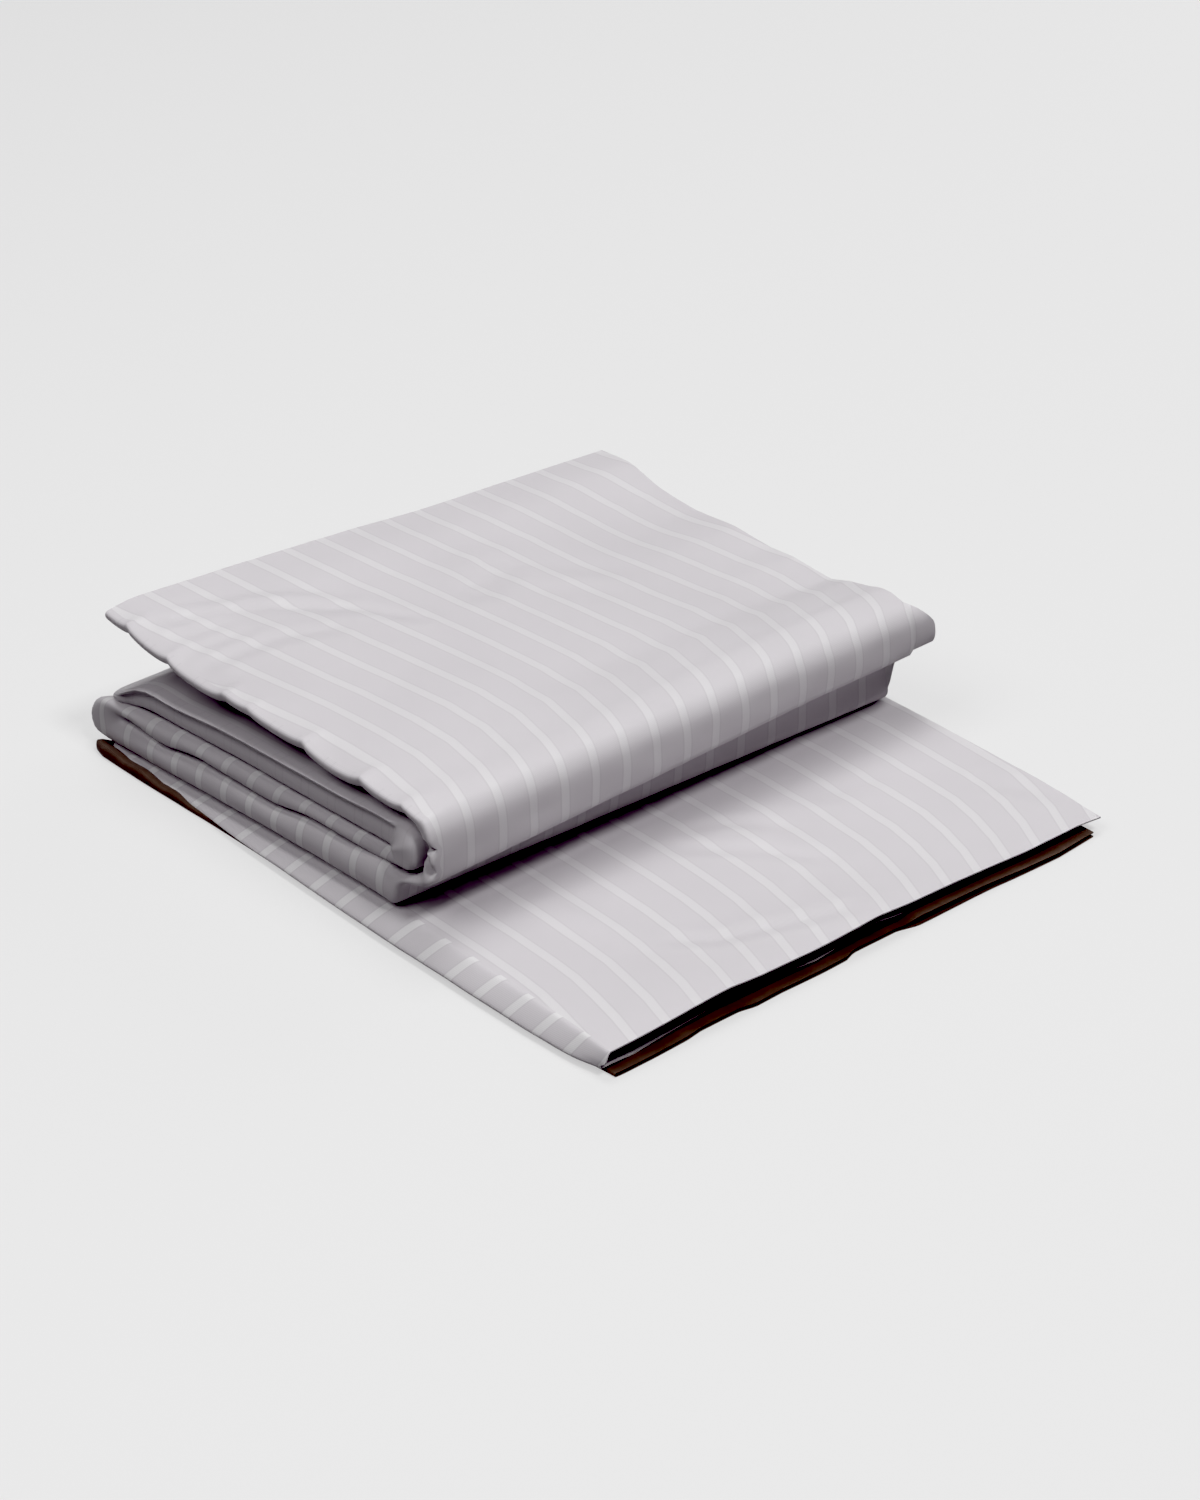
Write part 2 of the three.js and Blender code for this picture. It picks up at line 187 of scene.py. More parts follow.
FRONT_WRAP_OUTER = table(TURN_COLUMNS, (
    (168.6, 17.8, 162.4, 15.2),
    (165.2, 20.2, 157.6, 16.8),
    (163.6, 24.2, 155.6, 21.6),
    (162.2, 29.4, 156.0, 29.4),
    (158.2, 34.2, 156.6, 37.2),
    (151.6, 37.0, 153.6, 44.2),
    (145.2, 38.8, 147.6, 48.8),
    (140.2, 41.4, 140.8, 51.4),
    (137.3, 45.4, 135.4, 53.8),
    (136.5, 53.0, 132.8, 60.0),
    (136.8, 62.4, 132.8, 67.4),
    (139.2, 71.2, 135.2, 74.6),
    (144.6, 77.0, 141.6, 79.6),
))
FRONT_WRAP_INNER = table(TURN_COLUMNS, (
    (170.6, 36.8, 167.2, 27.4),
    (169.6, 36.4, 166.6, 28.4),
    (168.2, 36.5, 165.6, 31.0),
    (165.6, 37.0, 164.6, 35.2),
    (161.4, 38.4, 162.6, 40.2),
    (156.0, 40.2, 159.0, 44.8),
    (150.8, 42.4, 154.4, 49.2),
    (147.4, 45.8, 149.8, 53.2),
    (146.0, 50.2, 145.4, 57.4),
    (145.6, 55.8, 143.0, 62.0),
    (146.2, 62.2, 143.4, 66.4),
    (148.4, 67.6, 146.6, 70.0),
    (151.0, 70.6, 151.6, 71.4),
))

# How far the side fold of the back wrap is drawn in behind the nose, row by row
BACK_WRAP_DRAWN = (10.0, 20.0, 25.0, 19.0, 6.0, 0.0)

# How far the side fold of the front drop stands out, as draw-ins less than 0
FRONT_DROP_DRAWN = (-0.5, -1.5, -2.5, -2.5, -2.5, -2.5, -2.0, -0.5)

# (outer way, inner way or None where it is creased flat, draw-in, whether the first layer is outside)
TURNS = (
    (BACK_WRAP_OUTER, BACK_WRAP_INNER, BACK_WRAP_DRAWN, True),
    (FRONT_DROP_OUTER, None, FRONT_DROP_DRAWN, True),
    (BACK_NOSE_OUTER, None, None, False),
    (FRONT_WRAP_OUTER, FRONT_WRAP_INNER, None, False),
)

# Where the side fold starts on the upper and the lower layer, evenly spaced along each run, and its roll
SIDE_COLUMNS = ("x_high", "x_low", "roll")
SIDE_FOLDS = (
    table(SIDE_COLUMNS, (
        (0, -3, 2), (1, -7, 2), (3, -8, 3), (5, -8, 3), (6, -7, 3), (7, -5, 3), (8, 0, 3), (10, 4, 3),
    )),
    table(SIDE_COLUMNS, ((9, 9, 8), (9, 8, 7), (8, 7, 6))),
    table(SIDE_COLUMNS, ((8, 7, 5), (8, 7, 6), (8, 7, 7))),
    table(SIDE_COLUMNS, ((8, 7, 7), (8, 7, 8), (9, 7, 9))),
    table(SIDE_COLUMNS, ((6, 9, 5), (6, 9, 5))),
)

# Numbers of the runs in the cloth's way; a turn's way number is between those of its runs
BASE, MIDDLE, THIRD, SECOND, TOP = range(5)

# The middle run's upper layer ends in a lip over a flatter side, as far as its front turn, where it fades
LIP_PROFILE = table(("share", "out"), (
    (0, 0), (0.07, 0.85), (0.14, 1.0), (0.22, 0.95), (0.29, 0.6), (0.36, 0.52), (0.6, 0.6), (0.9, 0.45),
    (1, 0),
))
LIP_FRONT = 165.0
LIP_FRONT_FADE = 3.0
LIP_WAY_REACH = 0.1
LIP_WAY_FADE = 0.12

# The side folds' outline: 1 is round, less is flatter
SIDE_FLATNESS = 0.5

# How closely the rows follow each other along the cloth's way: finely where the base and the top show
BASE_FRONT_DEPTH = 175.0
FINE_STEP = 3.2
TURN_STEP = 3.6
COARSE_STEP = 10.0

# Columns from the open side to the side fold: most are far apart, those next to the fold close together
LOWER_COLUMNS = 24
UPPER_COLUMNS = 84
EDGE_COLUMNS = 8
EDGE_SHARE = 0.06
FOLD_COLUMNS = 14

# The open front edge of the base, its mouth: the lift of the upper layer
MOUTH_LIFT = table(("x", "lift"), (
    (0, 0), (40, 1.6), (78, 3.8), (98, 2.4), (133, 1.8), (160, 3.0), (180, 4.4), (202, 3.0),
    (235, 2.4), (290, 0), (325, 0), (346, -3.0),
))
MOUTH_DEPTH = 60.0
MOUTH_FLOOR = 3.9
MOUTH_HEIGHT = 10.0

# The rise of the lower layer there, which gives a wavy lip, and how far it is drawn back
LIP_LIFT = table(("x", "lift"), (
    (2, 0.8), (18, -0.8), (28, -0.6), (51, 0), (72, 0.6), (92, 1.0), (118, 0.8), (146, -0.2), (165, 0.8),
    (183, 1.4), (202, 1.2), (238, 0.8), (290, 0), (345, 0),
))
LIP_DEPTH = 26.0
LIP_SET_BACK = table(("x", "set_back"), (
    (0, 3), (14, 4), (30, 5), (51, 6), (72, 7), (92, 7.5), (118, 6.5), (146, 4), (165, 8), (183, 11),
    (202, 11), (238, 9), (290, 7), (345, 7),
))

# The height midway between the base's layers at the mouth, and how fast one passes into the other
MOUTH_MIDDLE = 8.6
MOUTH_PASSING = 3.0

# The inner cloth stands back in the mouth in uneven ruffles: its set-back and the lift of its two layers
RUFFLES = table(("x", "set_back", "lower", "upper"), (
    (0, 18, 0, -1), (7, 20, 0, -1), (12, 6, 4, -5), (18, 18, 0, 0), (30, 16, 0, -1), (42, 9, 2, -4),
    (54, 14, 4, -1), (66, 9, 1, -5), (80, 13, 5, -2), (92, 9, 1, -5), (105, 13, 4, -1), (118, 8, 1, -5),
    (132, 12, 4, -2), (146, 8, 1, -5), (158, 12, 4, -1), (172, 6, 0, -5), (186, 4, 1, -3), (200, 3, 0, -4),
    (212, 10, 1, -2), (240, 12, 1, -3), (290, 12, 1, -2), (345, 12, 0, -2),
))
RUFFLE_DEPTH = 24.0

# Creases in the upper side of the base and the top: the run's number, half the width, the
# height, which makes a trough where it is less than 0, and the corners (x, y) of the line
CREASES = (
    (TOP, 5.0, 1.2, ((36, 380), (55, 375), (72, 370), (90, 362), (102, 351))),
    (TOP, 4.0, -1.1, ((18, 384), (48, 375), (75, 365), (95, 350), (115, 330), (130, 302))),
    (TOP, 4.0, -0.7, ((16, 366), (45, 362))),
    (TOP, 4.5, -0.7, ((18, 351), (47, 350))),
    (TOP, 5.0, -0.8, ((16, 335), (60, 333), (90, 322))),
    (TOP, 9.0, -1.2, ((176, 308), (204, 324))),
    (TOP, 8.0, 0.7, ((215, 300), (250, 268))),
    (BASE, 4.0, -0.8, ((168, 126), (185, 122), (196, 112), (206, 97))),
    (BASE, 4.5, -0.8, ((148, 119), (160, 108), (176, 95), (191, 75), (202, 60))),
    (BASE, 4.5, -1.1, ((90, 53), (105, 40), (130, 32), (150, 25), (177, 14))),
    (BASE, 6.0, -0.5, ((248, 106), (292, 100))),
    (BASE, 6.0, -0.9, ((322, 64), (334, 34))),
    (BASE, 9.0, 0.6, ((205, 125), (240, 92))),
    (BASE, 9.0, 0.6, ((60, 120), (75, 70))),
)

# How a crease fades towards its ends, the share of it left there, and the cloth's answer beside it
CREASE_FADE = 14.0
CREASE_END_SHARE = 0.25
CREASE_SHOULDER = 0.4

# Creases are only in what lies higher than this
CREASE_LOWEST = 8.0
CREASE_PASSING = 3.0

# Shallow dents in the front face: their middle, half width, half height and depth, and where they fade
FRONT_DENTS = table(("x", "z", "half_width", "half_height", "depth"), (
    (34, 57, 12, 9, 1.2), (74, 60, 16, 7, 1.6), (116, 56, 14, 9, 1.4), (152, 64, 12, 7, 1.2),
    (192, 60, 16, 8, 1.6), (232, 66, 13, 7, 1.1), (272, 61, 16, 8, 1.4), (316, 66, 13, 7, 1.0),
))
DENT_WAY = TOP - 0.35
DENT_WAY_REACH = 0.35

# Pinched creases in the side of the front wrap: half width, depth and the corners (y, z) of each
PINCHES = (
    (2.2, 5.5, ((163, 69), (152, 64), (146, 57))),
    (1.8, 5.0, ((146, 63), (141, 55), (138, 48))),
    (1.8, 4.0, ((143, 64), (136, 61))),
    (2.0, 4.5, ((151, 56), (148, 46))),
)
PINCH_REACH = 16.0
PINCH_START, PINCH_START_FADE = SECOND + 0.2, 0.15
PINCH_END, PINCH_END_FADE = TOP + 0.3, 0.3

# The waviness of the side where the third run meets the second: the lift, and the height of the line
SIDE_WAVE = table(("y", "lift", "height"), (
    (160, 0, 39.5), (204, 0, 38), (220, 0.8, 37), (237, 1.2, 36), (252, 0, 34), (268, -1.8, 32.5),
    (296, -0.4, 31.5), (315, 0.8, 30), (334, 2.4, 29.5), (350, 0.4, 27), (364, -2.2, 25.5), (378, 0.2, 26),
    (393, 3.0, 27), (406, 2.6, 26), (424, 0, 24),
))
SIDE_WAVE_START, SIDE_WAVE_END = THIRD - 0.5, SECOND + 0.2
SIDE_WAVE_REACH = 20.0
SIDE_WAVE_HEIGHT = 5.5

# The nose inside the back is pushed out next to the side fold, which fades inwards, forwards and upwards
PUSH_DEPTH = 12.0
PUSH_WIDTH = 26.0
PUSH_START = 385.0
PUSH_FADE = 35.0
PUSH_TOP = 42.0
PUSH_TOP_FADE = 15.0
PUSH_WAY_FADE = 0.9

# Where the two cloths end at the open side, by way number: the inner one slips out of the front wrap
FACE_END = table(("way", "x"), (
    (0, 344), (0.5, 343), (1, 340), (3.2, 340), (3.5, 335), (3.85, 335), (4, 340), (5, 340),
))
INNER_END = table(("way", "x"), (
    (0, 341), (0.5, 340), (1, 338), (3.15, 339), (3.25, 343), (3.4, 350), (3.5, 353), (3.6, 354),
    (3.8, 352), (3.9, 345), (4, 338), (5, 338),
))

# Broad swells and dents of the stack
SWELLS = table(("x", "y", "radius", "height"), (
    (150, 300, 120, 2.6),
    (250, 180, 70, 1.6),
    (95, 210, 55, 1.4),
    (300, 330, 60, -1.6),
    (215, 400, 70, -1.2),
    (60, 330, 50, 1.2),
))
SWELL_FULL_HEIGHT = 60.0

# The rise and fall of the top's right edge
RIGHT_EDGE = table(("y", "lift"), (
    (156, 0), (173, -0.6), (188, -0.8), (202, -2.0), (217, -1.0), (233, 0.4), (250, -0.8),
    (280, 0.8), (312, -1.2), (343, -0.2), (369, 1.2), (393, 0),
))
RIGHT_EDGE_FADE = 70.0

# The scalloped left edge of the top: where the notches are, and how far the cloth hangs between them
SCALLOPS = table(("y", "hang"), (
    (145, 2.0), (161, 3.0), (195, 5.0), (241, 2.4), (287, 1.6), (308, 5.0), (357, 3.5), (392, 3.0),
    (420, 2.0),
))
SCALLOP_REACH = 22.0

# The unevenness of the top's edges starts this far before the top, in way numbers
TOP_START = 0.25


def smooth(share):
    """An even ease from 0 to 1."""
    share = np.clip(share, 0, 1)
    return share * share * (3 - 2 * share)


def mix(a, b, share):
    """The value at a share of the way from a to b."""
    return a + (b - a) * share


def run_stations(number):
    """The rows of one run: both layers' lines, where their side fold starts, its roll and the way."""
    run = RUNS[number]
    share = np.linspace(0, 1, len(run["y_left"]))
    fold = {
        name: np.interp(share, np.linspace(0, 1, len(places)), places)
        for name, places in SIDE_FOLDS[number].items()
    }
    order = ("low", "high") if number % 2 == 0 else ("high", "low")
    lines = [
        (run["y_left"], run[layer + "_left"], run["y_right"], run[layer + "_right"])
        for layer in order
    ]
    sides = (fold["x_" + order[0]], fold["x_" + order[1]], fold["roll"], number + 0 * share)
    return np.column_stack([*lines[0], *lines[1], *sides])


# The columns of a row: the lines of the first and the second layer, the side fold and the way number
FIRST, SECOND_LAYER = slice(0, 4), slice(4, 8)
X_FIRST, X_SECOND, ROLL, WAY = 8, 9, 10, 11
WHOLE_WAY_TOLERANCE = 0.001


def crease(start, end, count):
    """The inner layer of a turn that is creased flat."""
    angle = np.pi * np.arange(1, count + 1) / (count + 1)
    share = (1 - np.cos(angle)) / 2
    lines = mix(start[None, :], end[None, :], share[:, None])
    reach = np.sign(start[0] - STACK_MIDDLE_Y) * CREASE_REACH * np.sin(angle)
    lines[:, 0] += reach
    lines[:, 2] += reach
    return lines


def turn_stations(number, before, after):
    """The rows of one turn, between the last row before it and the first one after it."""
    outer_rows, inner_rows, drawn, first_outside = TURNS[number]
    outer = np.column_stack([outer_rows[name] for name in TURN_COLUMNS])
    count = len(outer)
    inside = SECOND_LAYER if first_outside else FIRST
    if inner_rows is None:
        inner = crease(before[inside], after[inside], count)
    else:
        inner = np.column_stack([inner_rows[name] for name in TURN_COLUMNS])
    share = np.arange(1, count + 1) / (count + 1)
    rows = mix(before[None, :], after[None, :], share[:, None])
    rows[:, inside] = inner
    rows[:, FIRST if first_outside else SECOND_LAYER] = outer
    if drawn is not None:
        rows[:, X_FIRST] += drawn
        rows[:, X_SECOND] += drawn
    return rows


def strip_stations():
    """All rows of the doubled cloth, from the mouth of the base to the back edge of the top."""
    runs = [run_stations(number) for number in range(len(RUNS))]
    rows = [runs[0]]
    for number in range(len(TURNS)):
        rows += [turn_stations(number, runs[number][-1], runs[number + 1][0]), runs[number + 1]]
    return np.vstack(rows)


def chords(lines):
    """The distances from row to row on the left and the right side, as their mean."""
    step = np.diff(lines, axis=0)
    return (np.hypot(step[:, 0], step[:, 1]) + np.hypot(step[:, 2], step[:, 3])) / 2


def row_step(way, y):
    """How far apart the rows of the fine cloth are."""
    if abs(way - round(way)) > WHOLE_WAY_TOLERANCE:
        return TURN_STEP
    if round(way) == TOP or (round(way) == BASE and y < BASE_FRONT_DEPTH):
        return FINE_STEP
    return COARSE_STEP


def fine_stations():
    """The rows on smooth curves through the stations, close together where the cloth shows or turns."""
    rows = strip_stations()
    long_way = np.maximum(chords(rows[:, FIRST]), chords(rows[:, SECOND_LAYER]))
    spans = (chords(rows[:, FIRST]) + chords(rows[:, SECOND_LAYER])) / 2
    knots = np.concatenate([[0], np.cumsum(spans)])
    places = [0.0]
    for i, length in enumerate(long_way):
        step = row_step((rows[i, WAY] + rows[i + 1, WAY]) / 2, rows[i, 0])
        count = max(1, math.ceil(length / step))
        places += list(mix(knots[i], knots[i + 1], np.arange(1, count + 1) / count))
    return curve_through(rows, knots, np.array(places))


def curve_through(rows, knots, places):
    """Values at the places on cubics through the rows."""
    gaps = np.diff(knots)[:, None]
    slopes = np.diff(rows, axis=0) / gaps
    tangents = np.empty_like(rows)
    tangents[1:-1] = (slopes[:-1] * gaps[1:] + slopes[1:] * gaps[:-1]) / (gaps[1:] + gaps[:-1])
    tangents[0] = slopes[0]
    tangents[-1] = slopes[-1]
    i = np.clip(np.searchsorted(knots, places, side="right") - 1, 0, len(gaps) - 1)
    t = ((places - knots[i]) / gaps[i, 0])[:, None]
    gap = gaps[i]
    start = (2 * t**3 - 3 * t**2 + 1) * rows[i] + (t**3 - 2 * t**2 + t) * gap * tangents[i]
    end = (3 * t**2 - 2 * t**3) * rows[i + 1] + (t**3 - t**2) * gap * tangents[i + 1]
    return start + end


def inset_lines(lines, distance):
    """Lines moved sideways, towards the inside of the doubled cloth."""
    moved = lines.copy()
    for y, z in ((0, 1), (2, 3)):
        along = np.gradient(lines[:, (y, z)], axis=0)
        along /= np.linalg.norm(along, axis=1)[:, None]
        moved[:, y] -= along[:, 1] * distance
        moved[:, z] += along[:, 0] * distance
    return moved


def nested_stations(rows, inset):
    """The rows of a cloth that lies inside the doubled one."""
    nested = rows.copy()
    nested[:, FIRST] = inset_lines(rows[:, FIRST], inset)
    nested[:, SECOND_LAYER] = inset_lines(rows[:, SECOND_LAYER], -inset)
    nested[:, X_FIRST] = rows[:, (X_FIRST, X_SECOND)].max(axis=1) + SIDE_NESTING
    nested[:, X_SECOND] = nested[:, X_FIRST]
    apart = np.hypot(*(nested[:, FIRST] - nested[:, SECOND_LAYER])[:, :2].T)
    nested[:, ROLL] = np.minimum(apart / 2, NESTED_ROLL)
    return nested


def layer_points(lines, x):
    """Points of one layer at the given x, which has a row for each line."""
    share = x / PACK_WIDTH
    y = mix(lines[:, 0:1], lines[:, 2:3], share)
    z = mix(lines[:, 1:2], lines[:, 3:4], mix(share, smooth(share), EASED_SHARE))
    return np.stack([x, y, z], axis=-1)


def cross_shares(columns):
    """Places between the open side, 0, and the side fold, 1."""
    far = np.linspace(0, 1 - EDGE_SHARE, columns, endpoint=False)
    near = np.linspace(1 - EDGE_SHARE, 1, EDGE_COLUMNS)
    return np.concatenate([far, near])


def cloth_points(rows, right_end):
    """The grid of a doubled cloth: its first layer from the open side, the side fold, its second layer."""
    lower = cross_shares(LOWER_COLUMNS)[None, :]
    upper = cross_shares(UPPER_COLUMNS)[None, ::-1]
    ends = right_end[:, None]
    first = layer_points(rows[:, FIRST], mix(ends, rows[:, X_FIRST:X_FIRST + 1], lower))
    second = layer_points(rows[:, SECOND_LAYER], mix(ends, rows[:, X_SECOND:X_SECOND + 1], upper))
    share = np.arange(1, FOLD_COLUMNS)[None, :] / FOLD_COLUMNS
    fold = mix(first[:, -1:], second[:, :1], (1 - np.cos(np.pi * share[..., None])) / 2)
    fold[..., 0] -= rows[:, ROLL:ROLL + 1] * fold_profile(share, rows[:, WAY:WAY + 1], rows[:, 0:1])
    return np.concatenate([first, fold, second], axis=1)


def fold_profile(share, way, y):
    """How far the side fold stands out, from layer to layer: round, or with the middle run's lip."""
    lipped = column_at(LIP_PROFILE, share, "out")
    on_middle = smooth(1 - (np.abs(way - MIDDLE) - LIP_WAY_REACH) / LIP_WAY_FADE)
    behind_front = smooth((y - LIP_FRONT) / LIP_FRONT_FADE)
    return mix(np.sin(np.pi * share) ** SIDE_FLATNESS, lipped, on_middle * behind_front)


def stack_lift(x, y, z):
    """How far the swells raise a point; they fade out towards the floor."""
    lift = 0 * x
    for cx, cy, radius, height in zip(*SWELLS.values()):
        lift += height * smooth(1 - np.hypot(x - cx, y - cy) / radius)
    return lift * smooth(z / SWELL_FULL_HEIGHT)


def mouth_lift(x, y, z):
    """How far the two layers of the base are lifted at the mouth."""
    raised = np.clip((z - MOUTH_FLOOR) / MOUTH_HEIGHT, 0, 1)
    upper = smooth(1 - y / MOUTH_DEPTH) * raised * column_at(MOUTH_LIFT, x, "lift")
    lower = smooth(1 - y / LIP_DEPTH) * (1 - raised) * column_at(LIP_LIFT, x, "lift")
    return upper + lower


def near_mouth(y, way, depth):
    """1 at the mouth of the base, fading to 0 at the given depth."""
    return smooth(1 - y / depth) * (way[:, None] < BASE + 0.5)


def ruffled(points, way):
    """The inner cloth drawn back and ruffled in the mouth."""
    x, y, z = np.moveaxis(points, -1, 0)
    near = near_mouth(y, way, RUFFLE_DEPTH)
    over = smooth((z - MOUTH_MIDDLE) / MOUTH_PASSING + 0.5)
    set_back = column_at(RUFFLES, x, "set_back")
    lift = mix(column_at(RUFFLES, x, "lower"), column_at(RUFFLES, x, "upper"), over)
    return np.stack([x, y + near * set_back, z + near * lift], axis=-1)


def lip_set_back(points, way):
    """The lower layer of the base drawn back under the upper one, in the mouth."""
    x, y, z = np.moveaxis(points, -1, 0)
    near = near_mouth(y, way, LIP_DEPTH) * smooth((MOUTH_MIDDLE - z) / MOUTH_PASSING)
    set_back = column_at(LIP_SET_BACK, x, "set_back")
    return np.stack([x, y + near * set_back, z], axis=-1)


def polyline_distance(x, y, corners):
    """The distances to a line of corners and to the nearer one of its ends."""
    best = np.full(np.shape(x), np.inf)
    end_distance = np.full(np.shape(x), np.inf)
    for cx, cy in (corners[0], corners[-1]):
        end_distance = np.minimum(end_distance, np.hypot(x - cx, y - cy))
    for (ax, ay), (bx, by) in zip(corners[:-1], corners[1:]):
        length = math.hypot(bx - ax, by - ay)
        share = np.clip(((x - ax) * (bx - ax) + (y - ay) * (by - ay)) / length**2, 0, 1)
        best = np.minimum(best, np.hypot(x - mix(ax, bx, share), y - mix(ay, by, share)))
    return best, end_distance


def crease_lift(x, y, z, way):
    """The creases: each a soft trough or ridge that fades towards its ends, with a shoulder beside it."""
    lift = 0 * x
    for number, half_width, height, corners in CREASES:
        away, from_end = polyline_distance(x, y, corners)
        middle = np.exp(-(away / half_width) ** 2)
        shoulder = CREASE_SHOULDER * np.exp(-((away - 2 * half_width) / half_width) ** 2)
        upper = smooth((z - CREASE_LOWEST) / CREASE_PASSING) * (np.abs(way - number) < 0.5)
        lift += height * (middle - shoulder) * smooth(CREASE_END_SHARE + from_end / CREASE_FADE) * upper
    return lift


def back_push(x, y, z, way):
    """How far the nose inside the back is pushed out."""
    nose = smooth((way - MIDDLE) / PUSH_WAY_FADE)
    side = smooth(1 - x / PUSH_WIDTH)
    back = smooth((y - PUSH_START) / PUSH_FADE)
    low = smooth((PUSH_TOP - z) / PUSH_TOP_FADE)
    return PUSH_DEPTH * nose * side * back * low


def front_dent(x, z, way):
    """How far the front face is dented towards the back."""
    depth = 0 * x
    for cx, cz, half_width, half_height, deep in zip(*FRONT_DENTS.values()):
        depth += deep * np.exp(-((x - cx) / half_width) ** 2 - ((z - cz) / half_height) ** 2)
    return depth * smooth(1 - np.abs(way - DENT_WAY) / DENT_WAY_REACH)


def pinch_depth(x, y, z, way):
    """How far the side of the front wrap is drawn in at its pinched creases."""
    depth = 0 * x
    for half_width, deep, corners in PINCHES:
        away, _ = polyline_distance(y, z, corners)
        depth += deep * np.exp(-(away / half_width) ** 2)
    on_turn = smooth((way - PINCH_START) / PINCH_START_FADE) * smooth((PINCH_END - way) / PINCH_END_FADE)
    return depth * smooth(1 - x / PINCH_REACH) * on_turn


def side_wave(x, y, z, way):
    """The lift of the wavy line in the side, which fades above and below it."""
    lift = column_at(SIDE_WAVE, y, "lift") * smooth(1 - x / SIDE_WAVE_REACH)
    away = (z - column_at(SIDE_WAVE, y, "height")) / SIDE_WAVE_HEIGHT
    return lift * np.exp(-away ** 2) * ((way > SIDE_WAVE_START) & (way < SIDE_WAVE_END))


def scallop_hang(y):
    """How far the top's left edge hangs: nothing at the sharp notches, and most between them."""
    notches = SCALLOPS["y"]
    i = np.clip(np.searchsorted(notches, y) - 1, 0, len(notches) - 2)
    share = np.clip((y - notches[i]) / (notches[i + 1] - notches[i]), 0, 1)
    return SCALLOPS["hang"][i] * np.sqrt(4 * share * (1 - share))


def top_lift(x, y, way):
    """The unevenness of the top's edges."""
    on_top = smooth((way - TOP + TOP_START) / TOP_START)
    near_right = smooth(1 - (PACK_WIDTH - x) / RIGHT_EDGE_FADE)
    right = column_at(RIGHT_EDGE, y, "lift") * near_right
    left = -scallop_hang(y) * smooth(1 - x / SCALLOP_REACH)
    return on_top * (right + left)


def uneven(points, way):
    """The unevenness of the real stack, the same for all cloths, so that they keep their distance."""
    x, y, z = np.moveaxis(points, -1, 0)
    way = way[:, None] + 0 * x
    lift = stack_lift(x, y, z) + mouth_lift(x, y, z) + top_lift(x, y, way) + crease_lift(x, y, z, way)
    lift += side_wave(x, y, z, way)
    push = back_push(x, y, z, way) + front_dent(x, z, way)
    return np.stack([x + pinch_depth(x, y, z, way), y + push, z + lift], axis=-1)


# The stripes: their distance, their width and the softness of their edges
STRIPE_PITCH = 22.0
STRIPE_WIDTH = 5.2
STRIPE_SOFTNESS = 0.4

# The fine line beside a stripe: its distance from the edge, half its core and its whole width, its shade
EDGE_LINE_PLACE = 0.5
EDGE_LINE_CORE = 0.2
EDGE_LINE_REACH = 0.7
EDGE_LINE_SHADE = 0.95

# Where the stripes lie, and how far they are shifted across the cloth along the base and the top
BASE_PHASE = 10.0
TOP_PHASE = 20.0
SHIFT_COLUMNS = ("y", "left", "middle", "right")
BASE_SHIFT = table(SHIFT_COLUMNS, (
    (0, -17.5, -22, -23), (20, -11.7, -13.9, -12.5), (40, -7, -7.8, -5), (60, -3.1, -2.9, -0.5),
    (80, -1.3, -0.6, 0.2), (110, 0, 1, 1.7), (140, 0.2, 1.9, 3), (170, 0, 1, 2), (430, 0, 0, 0),
))
TOP_SHIFT = table(SHIFT_COLUMNS, (
    (130, -14.5, -25.5, -38), (138, -13.5, -24, -36), (150, -10.5, -18.5, -28), (165, -6.2, -14, -22.5),
    (190, -3.6, -6.9, -11.2), (220, -3.7, -5.6, -9.3), (260, -6.3, -10.4, -13.8),
    (300, -12.2, -16.5, -20.3), (340, -19, -19.8, -22.7), (380, -28.8, -29, -34),
    (400, -34, -31.5, -36), (420, -38, -36, -40),
))

# Stripes across the side folds, by way number: how they slant and how strongly they show, which is more
# than on the flat parts: a painted sheen, which makes them paler where the threads would catch the light
SIDE_STRIPE_PAINTED_SHEEN_GAIN = 1.8
SIDE_STRIPES = table(("way", "slant", "strength"), (
    (0, 0.44, 1.0), (0.45, 0.44, 1.0), (0.55, 0, 0), (1.5, 0, 0), (1.8, 0.4, 1.0), (2.2, 0.44, 1.0),
    (2.8, 0, 1.0), (3.2, 0, 1.0), (3.3, 0, 0), (4, 0, 0),
))


def stripe_shift(x, y, shifts):
    """How far the stripes are shifted across the cloth."""
    left, middle, right = (column_at(shifts, y, side) for side in SHIFT_COLUMNS[1:])
    share = 2 * x / PACK_WIDTH
    return np.where(share < 1, mix(left, middle, share), mix(middle, right, share - 1))


def stripe_places(points, way, fold_start, fold_end):
    """Where each point lies across the stripes and along them, for the flat parts and the side folds."""
    x, y = points[..., 0], points[..., 1]
    number = way[:, None] + 0 * x
    base = stripe_shift(x, y, BASE_SHIFT) + BASE_PHASE
    top = stripe_shift(x, y, TOP_SHIFT) + TOP_PHASE
    shift = np.where(number > SECOND + 0.5, top, base)
    along = np.cumsum(np.concatenate([
        np.zeros_like(points[:1, :, 0]), np.linalg.norm(np.diff(points, axis=0), axis=-1)
    ]), axis=0)
    across = np.cumsum(np.concatenate([
        np.zeros_like(points[:, :1, 0]), np.linalg.norm(np.diff(points, axis=1), axis=-1)
    ], axis=1), axis=1)
    flat = np.stack([x - shift, along], axis=-1)
    slant = column_at(SIDE_STRIPES, number, "slant")
    middle = across[:, (fold_start + fold_end) // 2, None]
    side = np.stack([y + slant * (across - middle), across], axis=-1)
    return flat, side


def grid_faces(points):
    """The faces of a grid of points, as corner numbers."""
    rows, columns = points.shape[:2]
    corner = np.arange(rows * columns).reshape(rows, columns)
    return np.stack([corner[:-1, :-1], corner[1:, :-1], corner[1:, 1:], corner[:-1, 1:]], axis=-1)


